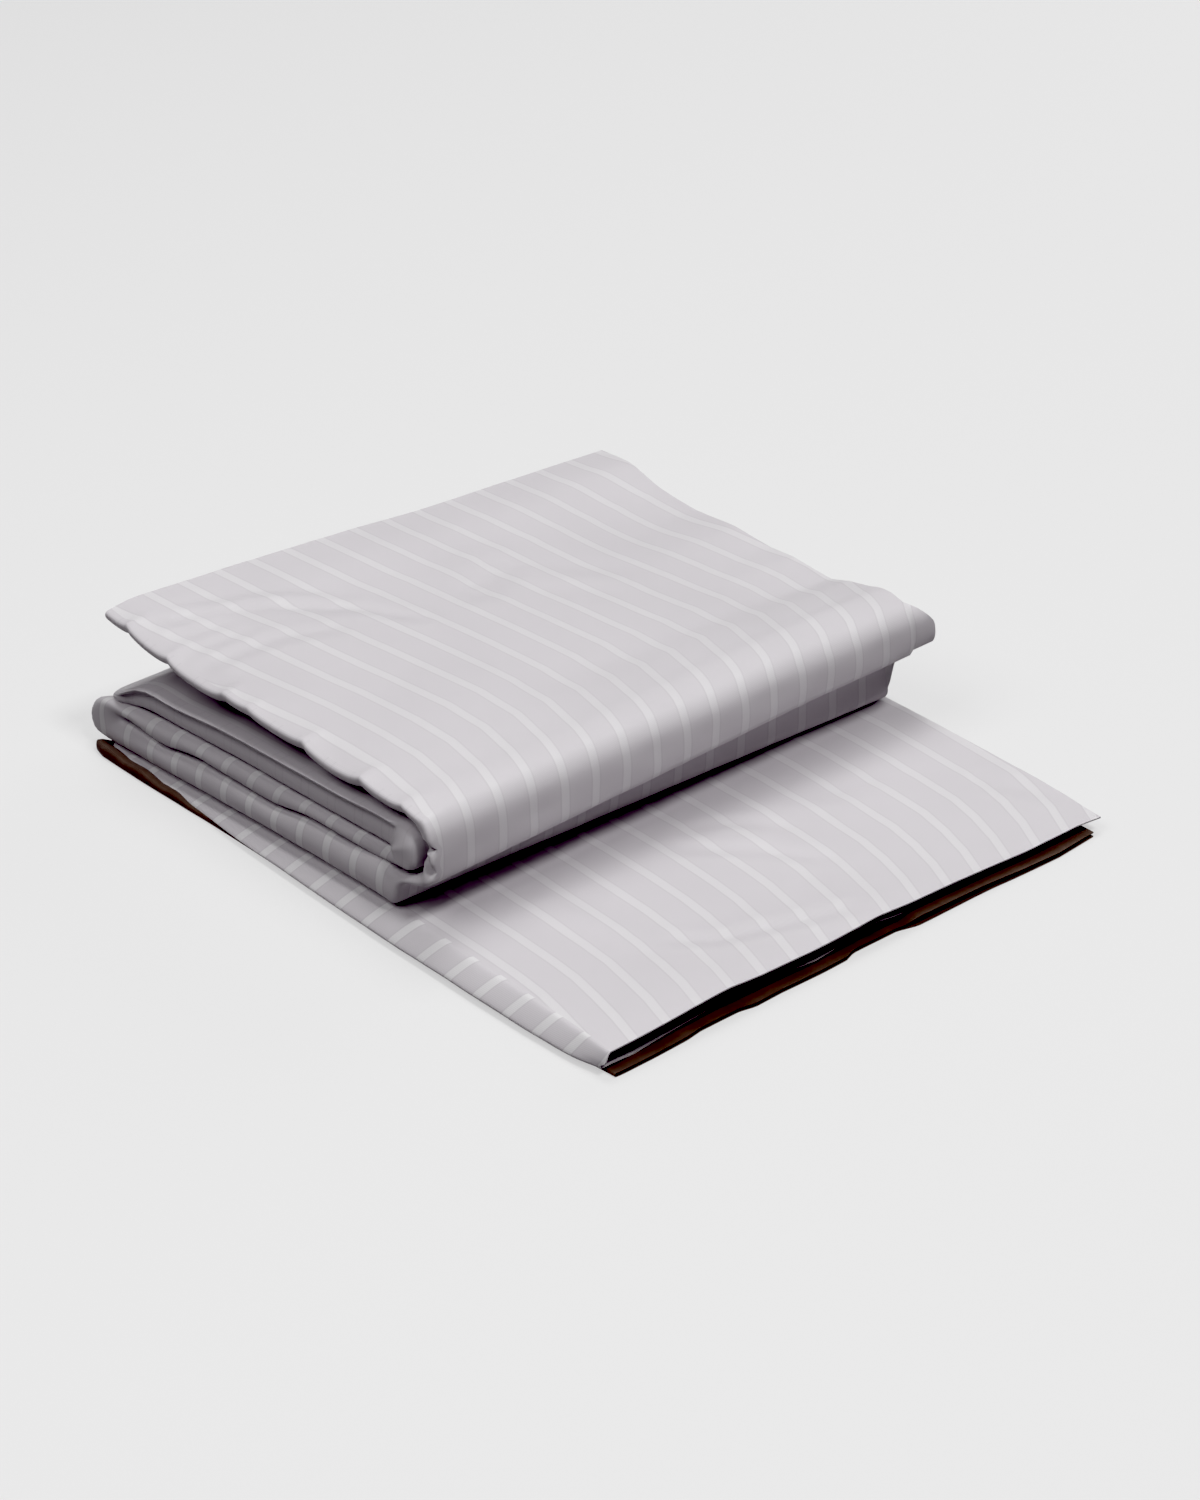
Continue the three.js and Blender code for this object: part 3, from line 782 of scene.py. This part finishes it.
def grid_mesh(name, points):
    """A mesh on a grid of points that are in the tables' millimetres."""
    vertices = points.reshape(-1, 3) * MM + CORNER
    mesh = bpy.data.meshes.new(name)
    mesh.from_pydata(vertices.tolist(), [], grid_faces(points).reshape(-1, 4).tolist())
    return mesh


def striped_mesh(name, points, way):
    """A grid's mesh with the stripes' places as its UV map and their strength as an attribute."""
    faces = grid_faces(points)
    fold_start = LOWER_COLUMNS + EDGE_COLUMNS - 1
    fold_end = fold_start + FOLD_COLUMNS
    flat, side = stripe_places(points, way, fold_start, fold_end)
    on_side = np.zeros(faces.shape[1], bool)
    on_side[fold_start:fold_end] = True
    place = np.where(on_side[None, :, None, None], side.reshape(-1, 2)[faces], flat.reshape(-1, 2)[faces])
    # On the side folds the strength is raised by the painted sheen, which makes the stripes paler there
    crossing = column_at(SIDE_STRIPES, way[:-1, None], "strength")
    strength = np.where(on_side[None, :], SIDE_STRIPE_PAINTED_SHEEN_GAIN * crossing, 1.0)
    mesh = grid_mesh(name, points)
    mesh.uv_layers.new(name="cloth")
    mesh.uv_layers["cloth"].data.foreach_set("uv", (place * MM).astype(np.float32).ravel())
    mesh.attributes.new("stripes", "FLOAT", "FACE")
    mesh.attributes["stripes"].data.foreach_set("value", strength.astype(np.float32).ravel())
    mesh.update()
    return mesh


def right_edge(rows, places):
    """Where each row of a cloth ends at the open side."""
    return column_at(places, rows[:, WAY], "x")


def linear(hex_colour):
    """A linear RGBA colour from an sRGB hex value."""
    channels = [int(hex_colour[i:i + 2], 16) / 255 for i in (0, 2, 4)]
    return [c / 12.92 if c <= 0.04045 else ((c + 0.055) / 1.055) ** 2.4 for c in channels] + [1.0]


def add_node(tree, kind, settings=None, links=None, **values):
    """Adds a node, sets its properties, its inputs' values and the links into it."""
    node = tree.nodes.new(kind)
    for name, value in (settings or {}).items():
        setattr(node, name, value)
    for name, value in values.items():
        node.inputs[name.replace("_", " ")].default_value = value
    for name, socket in (links or {}).items():
        tree.links.new(socket, node.inputs[name])
    return node


class FoldedCoverSettings(bpy.types.PropertyGroup):
    """The sizes and colours of the folded cover"""

    face_thickness: bpy.props.FloatProperty(
        name="Outer cloth thickness", description="Thickness of the striped outer cloth",
        default=0.0008, min=0.0002, max=0.003, unit="LENGTH", subtype="DISTANCE", precision=4,
    )
    inner_thickness: bpy.props.FloatProperty(
        name="Inner cloth thickness", description="Thickness of the inner and the under cloth",
        default=0.0007, min=0.0002, max=0.003, unit="LENGTH", subtype="DISTANCE", precision=4,
    )
    stripe_pitch: bpy.props.FloatProperty(
        name="Stripe pitch", description="Distance from stripe to stripe",
        default=STRIPE_PITCH * MM, min=0.005, max=0.1, unit="LENGTH", subtype="DISTANCE", precision=4,
    )
    stripe_width: bpy.props.FloatProperty(
        name="Stripe width", description="Width of one woven stripe",
        default=STRIPE_WIDTH * MM, min=0.001, max=0.05, unit="LENGTH", subtype="DISTANCE", precision=4,
    )
    rumple_height: bpy.props.FloatProperty(
        name="Rumple height", description="How far the cloth is rumpled at random",
        default=0.0012, min=0.0, max=0.01, unit="LENGTH", subtype="DISTANCE", precision=4,
    )
    rumple_size: bpy.props.FloatProperty(
        name="Rumple size", description="Size of the random rumples",
        default=0.045, min=0.005, max=0.3, unit="LENGTH", subtype="DISTANCE", precision=4,
    )
    ground_colour: bpy.props.FloatVectorProperty(
        name="Ground", description="Colour of the outer cloth between its stripes",
        default=linear("c8c5c8"), size=4, subtype="COLOR", min=0.0, max=1.0,
    )
    stripe_colour: bpy.props.FloatVectorProperty(
        name="Stripe", description="Colour of the outer cloth's stripes",
        default=linear("d0ced0"), size=4, subtype="COLOR", min=0.0, max=1.0,
    )
    # The under cloth's dark brown is painted shade, which stands for the shaded lowest layers of the cover
    under_painted_shade_colour: bpy.props.FloatVectorProperty(
        name="Under cloth", description="Colour of the dark cloth under the pack",
        default=linear("61564b"), size=4, subtype="COLOR", min=0.0, max=1.0,
    )
    floor_colour: bpy.props.FloatVectorProperty(
        name="Floor", description="Colour of the floor",
        default=linear("898989"), size=4, subtype="COLOR", min=0.0, max=1.0,
    )
    floor_glow: bpy.props.FloatProperty(
        name="Floor glow", description="How brightly the floor is lit from beneath, as a light table is",
        default=0.54, min=0.0, max=2.0,
    )


def stripe_mask(tree, settings):
    """1 on a stripe and 0 between, the shade of the fine lines beside it, and the place on the cloth."""
    uv = add_node(tree, "ShaderNodeUVMap", {"uv_map": "cloth"})
    place = add_node(tree, "ShaderNodeSeparateXYZ", links={"Vector": uv.outputs["UV"]})
    wrapped = add_node(tree, "ShaderNodeMath", {"operation": "WRAP"}, {0: place.outputs["X"]})
    wrapped.inputs[1].default_value = settings.stripe_pitch / 2
    wrapped.inputs[2].default_value = -settings.stripe_pitch / 2
    away = add_node(tree, "ShaderNodeMath", {"operation": "ABSOLUTE"}, {0: wrapped.outputs[0]})
    eased = {"interpolation_type": "SMOOTHSTEP"}
    half_width, softness = settings.stripe_width / 2, STRIPE_SOFTNESS * MM
    band = add_node(
        tree, "ShaderNodeMapRange", eased, {"Value": away.outputs[0]},
        From_Min=half_width + softness, From_Max=half_width - softness,
    )
    # The strength goes past 1 on the side folds, where it carries the painted sheen
    strength = add_node(tree, "ShaderNodeAttribute", {"attribute_name": "stripes"})
    mask = add_node(
        tree, "ShaderNodeMath", {"operation": "MULTIPLY"},
        {0: band.outputs[0], 1: strength.outputs["Fac"]},
    )
    from_edge = add_node(tree, "ShaderNodeMath", {"operation": "SUBTRACT"}, {0: away.outputs[0]})
    from_edge.inputs[1].default_value = half_width + EDGE_LINE_PLACE * MM
    beside = add_node(tree, "ShaderNodeMath", {"operation": "ABSOLUTE"}, {0: from_edge.outputs[0]})
    line = add_node(
        tree, "ShaderNodeMapRange", eased, {"Value": beside.outputs[0]},
        From_Min=EDGE_LINE_CORE * MM, From_Max=EDGE_LINE_REACH * MM, To_Min=EDGE_LINE_SHADE, To_Max=1.0,
    )
    return mask.outputs[0], line.outputs[0], place


# Broad, faint clouds in the sateen's shade, and fine slubs in the plain cotton: how many go in a metre
SATEEN_CLOUDS = 14.0
COTTON_SLUBS = 60.0

# The sateen's weft threads are far finer than this, and are drawn as coarse as they need to show
THREAD_PITCH = 0.9


def empty_material(name):
    """A material whose nodes are still to be made, and its tree."""
    material = bpy.data.materials.new(name)
    material.use_nodes = True
    material.node_tree.nodes.clear()
    return material, material.node_tree


def striped_sateen(name, settings):
    """Cotton sateen with a woven satin stripe: a soft sheen, glossier and paler where threads float."""
    material, tree = empty_material(name)
    mask, edge_line, place = stripe_mask(tree, settings)
    where = add_node(tree, "ShaderNodeTexCoord")
    clouds = add_node(
        tree, "ShaderNodeTexNoise", links={"Vector": where.outputs["Object"]},
        Scale=SATEEN_CLOUDS, Detail=3.0, Roughness=0.5,
    )
    shade = add_node(
        tree, "ShaderNodeMapRange", links={"Value": clouds.outputs["Fac"]}, To_Min=0.96, To_Max=1.04
    )
    # Not clamped, so that the painted sheen on the side folds makes the stripes paler than their own colour
    colour = add_node(tree, "ShaderNodeMix", {"data_type": "RGBA", "clamp_factor": False}, {0: mask})
    colour.inputs[6].default_value = settings.ground_colour
    colour.inputs[7].default_value = settings.stripe_colour
    lined = add_node(tree, "ShaderNodeMath", {"operation": "MULTIPLY"}, {0: shade.outputs[0], 1: edge_line})
    shaded = add_node(
        tree, "ShaderNodeVectorMath", {"operation": "SCALE"},
        {0: colour.outputs[2], "Scale": lined.outputs[0]},
    )
    gloss = add_node(tree, "ShaderNodeMapRange", links={"Value": mask}, To_Min=0.6, To_Max=0.5)
    thread = add_node(tree, "ShaderNodeMath", {"operation": "MULTIPLY"}, {0: place.outputs["Y"]})
    thread.inputs[1].default_value = 2 * math.pi / (THREAD_PITCH * MM)
    weft = add_node(tree, "ShaderNodeMath", {"operation": "SINE"}, {0: thread.outputs[0]})
    bump = add_node(
        tree, "ShaderNodeBump", links={"Height": weft.outputs[0]}, Strength=0.12, Distance=0.0001
    )
    surface = add_node(
        tree, "ShaderNodeBsdfPrincipled",
        links={
            "Base Color": shaded.outputs[0], "Roughness": gloss.outputs[0], "Normal": bump.outputs[0]
        },
        IOR=1.5, Sheen_Weight=0.25, Sheen_Roughness=0.4,
    )
    add_node(tree, "ShaderNodeOutputMaterial", links={"Surface": surface.outputs[0]})
    return material


def plain_cotton(name, colour):
    """Plain-woven cotton: matt, with slightly uneven thread that mottles its dark shade."""
    material, tree = empty_material(name)
    where = add_node(tree, "ShaderNodeTexCoord")
    clouds = add_node(
        tree, "ShaderNodeTexNoise", links={"Vector": where.outputs["Object"]},
        Scale=COTTON_SLUBS, Detail=4.0, Roughness=0.6,
    )
    shade = add_node(
        tree, "ShaderNodeMapRange", links={"Value": clouds.outputs["Fac"]}, To_Min=0.6, To_Max=1.4
    )
    shaded = add_node(tree, "ShaderNodeVectorMath", {"operation": "SCALE"}, {"Scale": shade.outputs[0]})
    shaded.inputs[0].default_value = colour[:3]
    bump = add_node(
        tree, "ShaderNodeBump", links={"Height": clouds.outputs["Fac"]}, Strength=0.3, Distance=0.0004
    )
    surface = add_node(
        tree, "ShaderNodeBsdfPrincipled",
        links={"Base Color": shaded.outputs[0], "Normal": bump.outputs[0]},
        IOR=1.5, Roughness=0.8, Sheen_Weight=0.1,
    )
    add_node(tree, "ShaderNodeOutputMaterial", links={"Surface": surface.outputs[0]})
    return material


# Faces that meet at more than this angle show a sharp edge
SHARP_ANGLE = math.radians(50)
RUMPLE_SEED = 3.0
RUMPLE_SOCKETS = (
    ("Height", "NodeSocketFloat"), ("Size", "NodeSocketFloat"), ("Seed", "NodeSocketFloat"),
    ("Material", "NodeSocketMaterial"),
)


def rumple_tree():
    """Geometry Nodes that rumple a cloth a little, by one random field, which all the cloths share."""
    tree = bpy.data.node_groups.new("cloth_rumple", "GeometryNodeTree")
    tree.interface.new_socket("Geometry", in_out="INPUT", socket_type="NodeSocketGeometry")
    for name, kind in RUMPLE_SOCKETS:
        tree.interface.new_socket(name, in_out="INPUT", socket_type=kind)
    tree.interface.new_socket("Geometry", in_out="OUTPUT", socket_type="NodeSocketGeometry")
    given = add_node(tree, "NodeGroupInput")
    place = add_node(tree, "GeometryNodeInputPosition")
    turns = add_node(tree, "ShaderNodeMath", {"operation": "DIVIDE"}, {1: given.outputs["Size"]})
    turns.inputs[0].default_value = 1.0
    field = add_node(
        tree, "ShaderNodeTexNoise", {"noise_dimensions": "4D"},
        {"Vector": place.outputs[0], "Scale": turns.outputs[0], "W": given.outputs["Seed"]},
        Detail=2.0, Roughness=0.45,
    )
    centred = add_node(
        tree, "ShaderNodeVectorMath", {"operation": "SUBTRACT"}, {0: field.outputs["Color"]}
    )
    centred.inputs[1].default_value = (0.5, 0.5, 0.5)
    offset = add_node(
        tree, "ShaderNodeVectorMath", {"operation": "SCALE"},
        {0: centred.outputs[0], "Scale": given.outputs["Height"]},
    )
    moved = add_node(
        tree, "GeometryNodeSetPosition",
        links={"Geometry": given.outputs["Geometry"], "Offset": offset.outputs[0]},
    )
    real = add_node(tree, "GeometryNodeRealizeInstances", links={"Geometry": moved.outputs[0]})
    coloured = add_node(
        tree, "GeometryNodeSetMaterial",
        links={"Geometry": real.outputs[0], "Material": given.outputs["Material"]},
    )
    add_node(tree, "NodeGroupOutput", links={"Geometry": coloured.outputs[0]})
    return tree


def socket_identifier(tree, name):
    """The identifier of a tree's input."""
    inputs = (item for item in tree.interface.items_tree if item.in_out == "INPUT")
    return next(item.identifier for item in inputs if item.name == name)


def finished_cloth(name, mesh, material, thickness, settings):
    """Rumples the cloth, gives it its thickness and returns it as a plain object."""
    raw = bpy.data.objects.new(name + "_raw", mesh)
    bpy.context.scene.collection.objects.link(raw)
    tree = bpy.data.node_groups.get("cloth_rumple") or rumple_tree()
    rumple = raw.modifiers.new("Rumple", "NODES")
    rumple.node_group = tree
    values = (settings.rumple_height, settings.rumple_size, RUMPLE_SEED, material)
    for (socket, _), value in zip(RUMPLE_SOCKETS, values):
        rumple[socket_identifier(tree, socket)] = value
    wall = raw.modifiers.new("Thickness", "SOLIDIFY")
    wall.thickness = thickness
    wall.offset = 0
    graph = bpy.context.evaluated_depsgraph_get()
    result = bpy.data.meshes.new_from_object(
        raw.evaluated_get(graph), preserve_all_data_layers=True, depsgraph=graph
    )
    bpy.data.objects.remove(raw)
    result.name = name
    for polygon in result.polygons:
        polygon.use_smooth = True
    result.set_sharp_from_angle(angle=SHARP_ANGLE)
    result.materials.clear()
    result.materials.append(material)
    cloth = bpy.data.objects.new(name, result)
    bpy.context.scene.collection.objects.link(cloth)
    return cloth


def striped_cloth(name, finish, points, way, thickness, settings):
    """A finished striped cloth on a grid of points."""
    mesh = striped_mesh(name, points, way)
    return finished_cloth(name, mesh, striped_sateen(finish, settings), thickness, settings)


class COVER_OT_face_panel(bpy.types.Operator):
    """Builds the striped outer cloth, doubled at the side fold and folded back and forth"""

    bl_idname = "cover.face_panel"
    bl_label = "Outer cloth"

    def execute(self, context):
        settings = context.scene.folded_cover
        rows = fine_stations()
        points = lip_set_back(cloth_points(rows, right_edge(rows, FACE_END)), rows[:, WAY])
        points = uneven(points, rows[:, WAY])
        cloth = striped_cloth(
            "face_cloth", "cotton sateen with satin stripe", points, rows[:, WAY],
            settings.face_thickness, settings,
        )
        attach(cloth, "root")
        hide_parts("face_panel")
        return {"FINISHED"}


class COVER_OT_inner_panel(bpy.types.Operator):
    """Builds the cloth inside the cover, which lies in the outer one's folds"""

    bl_idname = "cover.inner_panel"
    bl_label = "Inner cloth"

    def execute(self, context):
        settings = context.scene.folded_cover
        rows = nested_stations(fine_stations(), LAYER_INSET)
        points = ruffled(cloth_points(rows, right_edge(rows, INNER_END)), rows[:, WAY])
        points = uneven(points, rows[:, WAY])
        cloth = striped_cloth(
            "inner_cloth", "cotton sateen inner side", points, rows[:, WAY],
            settings.inner_thickness, settings,
        )
        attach(cloth, "root")
        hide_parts("inner_panel")
        return {"FINISHED"}


# The cloth under the pack: its left and front edges, its back edge, and the heights of its two layers
UNDER_LEFT = table(("y", "x"), (
    (0, 1), (30, -2), (100, -3), (300, -3), (345, -4), (380, -5), (412, -5), (419, -3),
))
UNDER_BACK = 419.0
UNDER_LOWER = 0.4
UNDER_UPPER = 2.2
UNDER_FRONT = table(("x", "y"), (
    (-5, -2), (5, -2.5), (28, -2), (48, -1.5), (58, 0), (84, 0), (93, -2), (111, -1.5), (137, -2),
    (156, -1.5), (163, 1), (194, 1), (206, -2.5), (250, -2.5), (280, -3.3), (308, -4), (337, -1.7),
))

# The rise of its upper layer at the front edge, and along the left side at the back
UNDER_LIFT = table(("x", "lift"), (
    (0, 0), (198, 0), (207, 3.2), (238, 2.6), (270, 1.6), (300, 0.9), (337, 0.6),
))
UNDER_LIFT_DEPTH = 22.0
UNDER_BACK_LIFT = table(("y", "lift"), (
    (250, 0), (290, 0.6), (318, 1.6), (332, 1.2), (348, 3.0), (362, 2.0), (378, 4.6), (392, 3.4),
    (406, 5.2), (419, 4.4),
))
UNDER_BACK_REACH = 11.0

# Its grid: rows along it, columns across each layer and round its fold
UNDER_ROWS = 110
UNDER_COLUMNS = 120
UNDER_FOLD_COLUMNS = 7


def under_points():
    """The under cloth lies double on the floor, folded at its left side; its dark colour is painted shade.
    """
    y = np.linspace(0, UNDER_BACK, UNDER_ROWS)
    left = column_at(UNDER_LEFT, y, "x")[:, None]
    x = mix(left, UNDER_RIGHT, np.linspace(0, 1, UNDER_COLUMNS)[None, :])
    front = column_at(UNDER_FRONT, x, "y")
    depth = mix(front, UNDER_BACK, y[:, None] / UNDER_BACK)
    lower = np.stack([x, depth, 0 * x + UNDER_LOWER], axis=-1)[:, ::-1]
    lift = column_at(UNDER_LIFT, x, "lift") * smooth(1 - depth / UNDER_LIFT_DEPTH)
    back_lift = column_at(UNDER_BACK_LIFT, depth, "lift")
    lift += back_lift * smooth(1 - (x - left) / UNDER_BACK_REACH)
    upper = np.stack([x, depth, UNDER_UPPER + lift], axis=-1)
    angle = np.linspace(-np.pi / 2, np.pi / 2, UNDER_FOLD_COLUMNS)[None, 1:-1]
    radius = (upper[:, :1, 2] - UNDER_LOWER) / 2
    fold_x = left - (UNDER_UPPER - UNDER_LOWER) / 2 * np.cos(angle)
    fold_z = UNDER_LOWER + radius + radius * np.sin(angle)
    fold = np.stack([fold_x, depth[:, :1] + 0 * fold_x, fold_z], axis=-1)
    return np.concatenate([lower, fold, upper], axis=1)


class COVER_OT_under_panel(bpy.types.Operator):
    """Builds the cloth that lies double under the pack, dark brown as painted shade"""

    bl_idname = "cover.under_panel"
    bl_label = "Under cloth"

    def execute(self, context):
        settings = context.scene.folded_cover
        points = under_points()
        mesh = grid_mesh("under_cloth", points)
        # Its dark brown is painted shade, for the shaded lowest layers at the pack's bottom edges
        material = plain_cotton("plain cotton in dark brown painted shade", settings.under_painted_shade_colour)
        cloth = finished_cloth("under_cloth", mesh, material, settings.inner_thickness, settings)
        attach(cloth, "root")
        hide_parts("under_panel")
        return {"FINISHED"}


# The camera, fitted to the pack's corners: its place in metres, its angles in degrees and its lens in mm
CAMERA_PLACE = (-1.2938, -1.4770, 1.1590)
CAMERA_PITCH = 30.1
CAMERA_YAW = 41.4
LENS = 101.7

# Soft studio light, aimed at the pack: each light's name, its place and side in metres, its power in watts.
# The last one is weak, and only opens the shadows on the side that the camera doesn't see
LIGHTS = (
    ("key softbox", (-0.1, -1.65, 3.0), 0.6, 57),
    ("left softbox", (-1.9, 0.0, 2.6), 1.6, 37),
    ("overhead softbox", (0.55, 0.75, 3.0), 1.6, 35),
    ("fill from the open side", (2.0, 0.5, 0.8), 1.2, 9),
)
ROOM_LIGHT = 0.06
FLOOR_SIZE = 14.0

# The darkest tones are drawn down to black, which gives the deep gaps between the folds
BLACK_LEVEL = (0.054, 0.061, 0.054)


def add_light(name, place, side, power):
    """A square softbox aimed at the pack."""
    data = bpy.data.lights.new(name, "AREA")
    data.shape = "SQUARE"
    data.size = side
    data.energy = power
    light = bpy.data.objects.new(name, data)
    light.location = place
    x, y, z = place
    light.rotation_euler = (math.atan2(math.hypot(x, y), z), 0.0, math.atan2(-y, -x) - math.pi / 2)
    bpy.context.scene.collection.objects.link(light)


def add_camera():
    """The camera at the photograph's viewing angle."""
    data = bpy.data.cameras.new("camera")
    data.lens = LENS
    data.sensor_width = 36.0
    data.sensor_fit = "AUTO"
    camera = bpy.data.objects.new("camera", data)
    camera.location = CAMERA_PLACE
    camera.rotation_euler = (math.radians(90 - CAMERA_PITCH), 0.0, -math.radians(CAMERA_YAW))
    bpy.context.scene.collection.objects.link(camera)
    bpy.context.scene.camera = camera


def add_floor(settings):
    """A matt white board, lit from beneath as a light table is, which keeps the shadows on it faint."""
    half = FLOOR_SIZE / 2
    mesh = bpy.data.meshes.new("floor")
    corners = [(-half, -half, 0), (half, -half, 0), (half, half, 0), (-half, half, 0)]
    mesh.from_pydata(corners, [], [(0, 1, 2, 3)])
    material = bpy.data.materials.new("matt white board")
    material.use_nodes = True
    shader = material.node_tree.nodes["Principled BSDF"]
    shader.inputs["Base Color"].default_value = settings.floor_colour
    shader.inputs["Emission Color"].default_value = (1.0, 1.0, 1.0, 1.0)
    shader.inputs["Emission Strength"].default_value = settings.floor_glow
    shader.inputs["Roughness"].default_value = 1.0
    shader.inputs["Specular IOR Level"].default_value = 0.0
    mesh.materials.append(material)
    floor = bpy.data.objects.new("floor", mesh)
    floor.visible_diffuse = False
    bpy.context.scene.collection.objects.link(floor)


def set_room_light():
    """A weak even light from all around."""
    world = bpy.data.worlds.new("soft room light")
    world.use_nodes = True
    background = world.node_tree.nodes["Background"]
    background.inputs["Color"].default_value = (1, 1, 1, 1)
    background.inputs["Strength"].default_value = ROOM_LIGHT
    bpy.context.scene.world = world


class COVER_OT_stage(bpy.types.Operator):
    """Sets up the pale floor, the soft light and the camera"""

    bl_idname = "cover.stage"
    bl_label = "Stage"

    def execute(self, context):
        for name in ("Cube", "Light", "Camera"):
            if name in bpy.data.objects:
                bpy.data.objects.remove(bpy.data.objects[name])
        add_floor(context.scene.folded_cover)
        set_room_light()
        for light in LIGHTS:
            add_light(*light)
        add_camera()
        view = context.scene.view_settings
        view.view_transform = "Standard"
        view.use_curve_mapping = True
        view.curve_mapping.black_level = BLACK_LEVEL
        view.curve_mapping.update()
        return {"FINISHED"}


OPERATORS = (COVER_OT_stage, COVER_OT_under_panel, COVER_OT_face_panel, COVER_OT_inner_panel)


class COVER_PT_panel(bpy.types.Panel):
    """Lists the cover's settings and steps"""

    bl_idname = "COVER_PT_panel"
    bl_label = "Folded cover"
    bl_space_type = "VIEW_3D"
    bl_region_type = "UI"
    bl_category = "Cover"

    def draw(self, context):
        settings = context.scene.folded_cover
        for name in FoldedCoverSettings.__annotations__:
            self.layout.prop(settings, name)
        for operator in OPERATORS:
            self.layout.operator(operator.bl_idname)


CLASSES = (FoldedCoverSettings, *OPERATORS, COVER_PT_panel)


def register():
    for cls in CLASSES:
        bpy.utils.register_class(cls)
    bpy.types.Scene.folded_cover = bpy.props.PointerProperty(type=FoldedCoverSettings)


def unregister():
    del bpy.types.Scene.folded_cover
    for cls in reversed(CLASSES):
        bpy.utils.unregister_class(cls)


def main():
    register()
    bpy.ops.cover.stage()
    bpy.ops.cover.under_panel()
    bpy.ops.cover.face_panel()
    bpy.ops.cover.inner_panel()


if __name__ == "__main__":
    main()
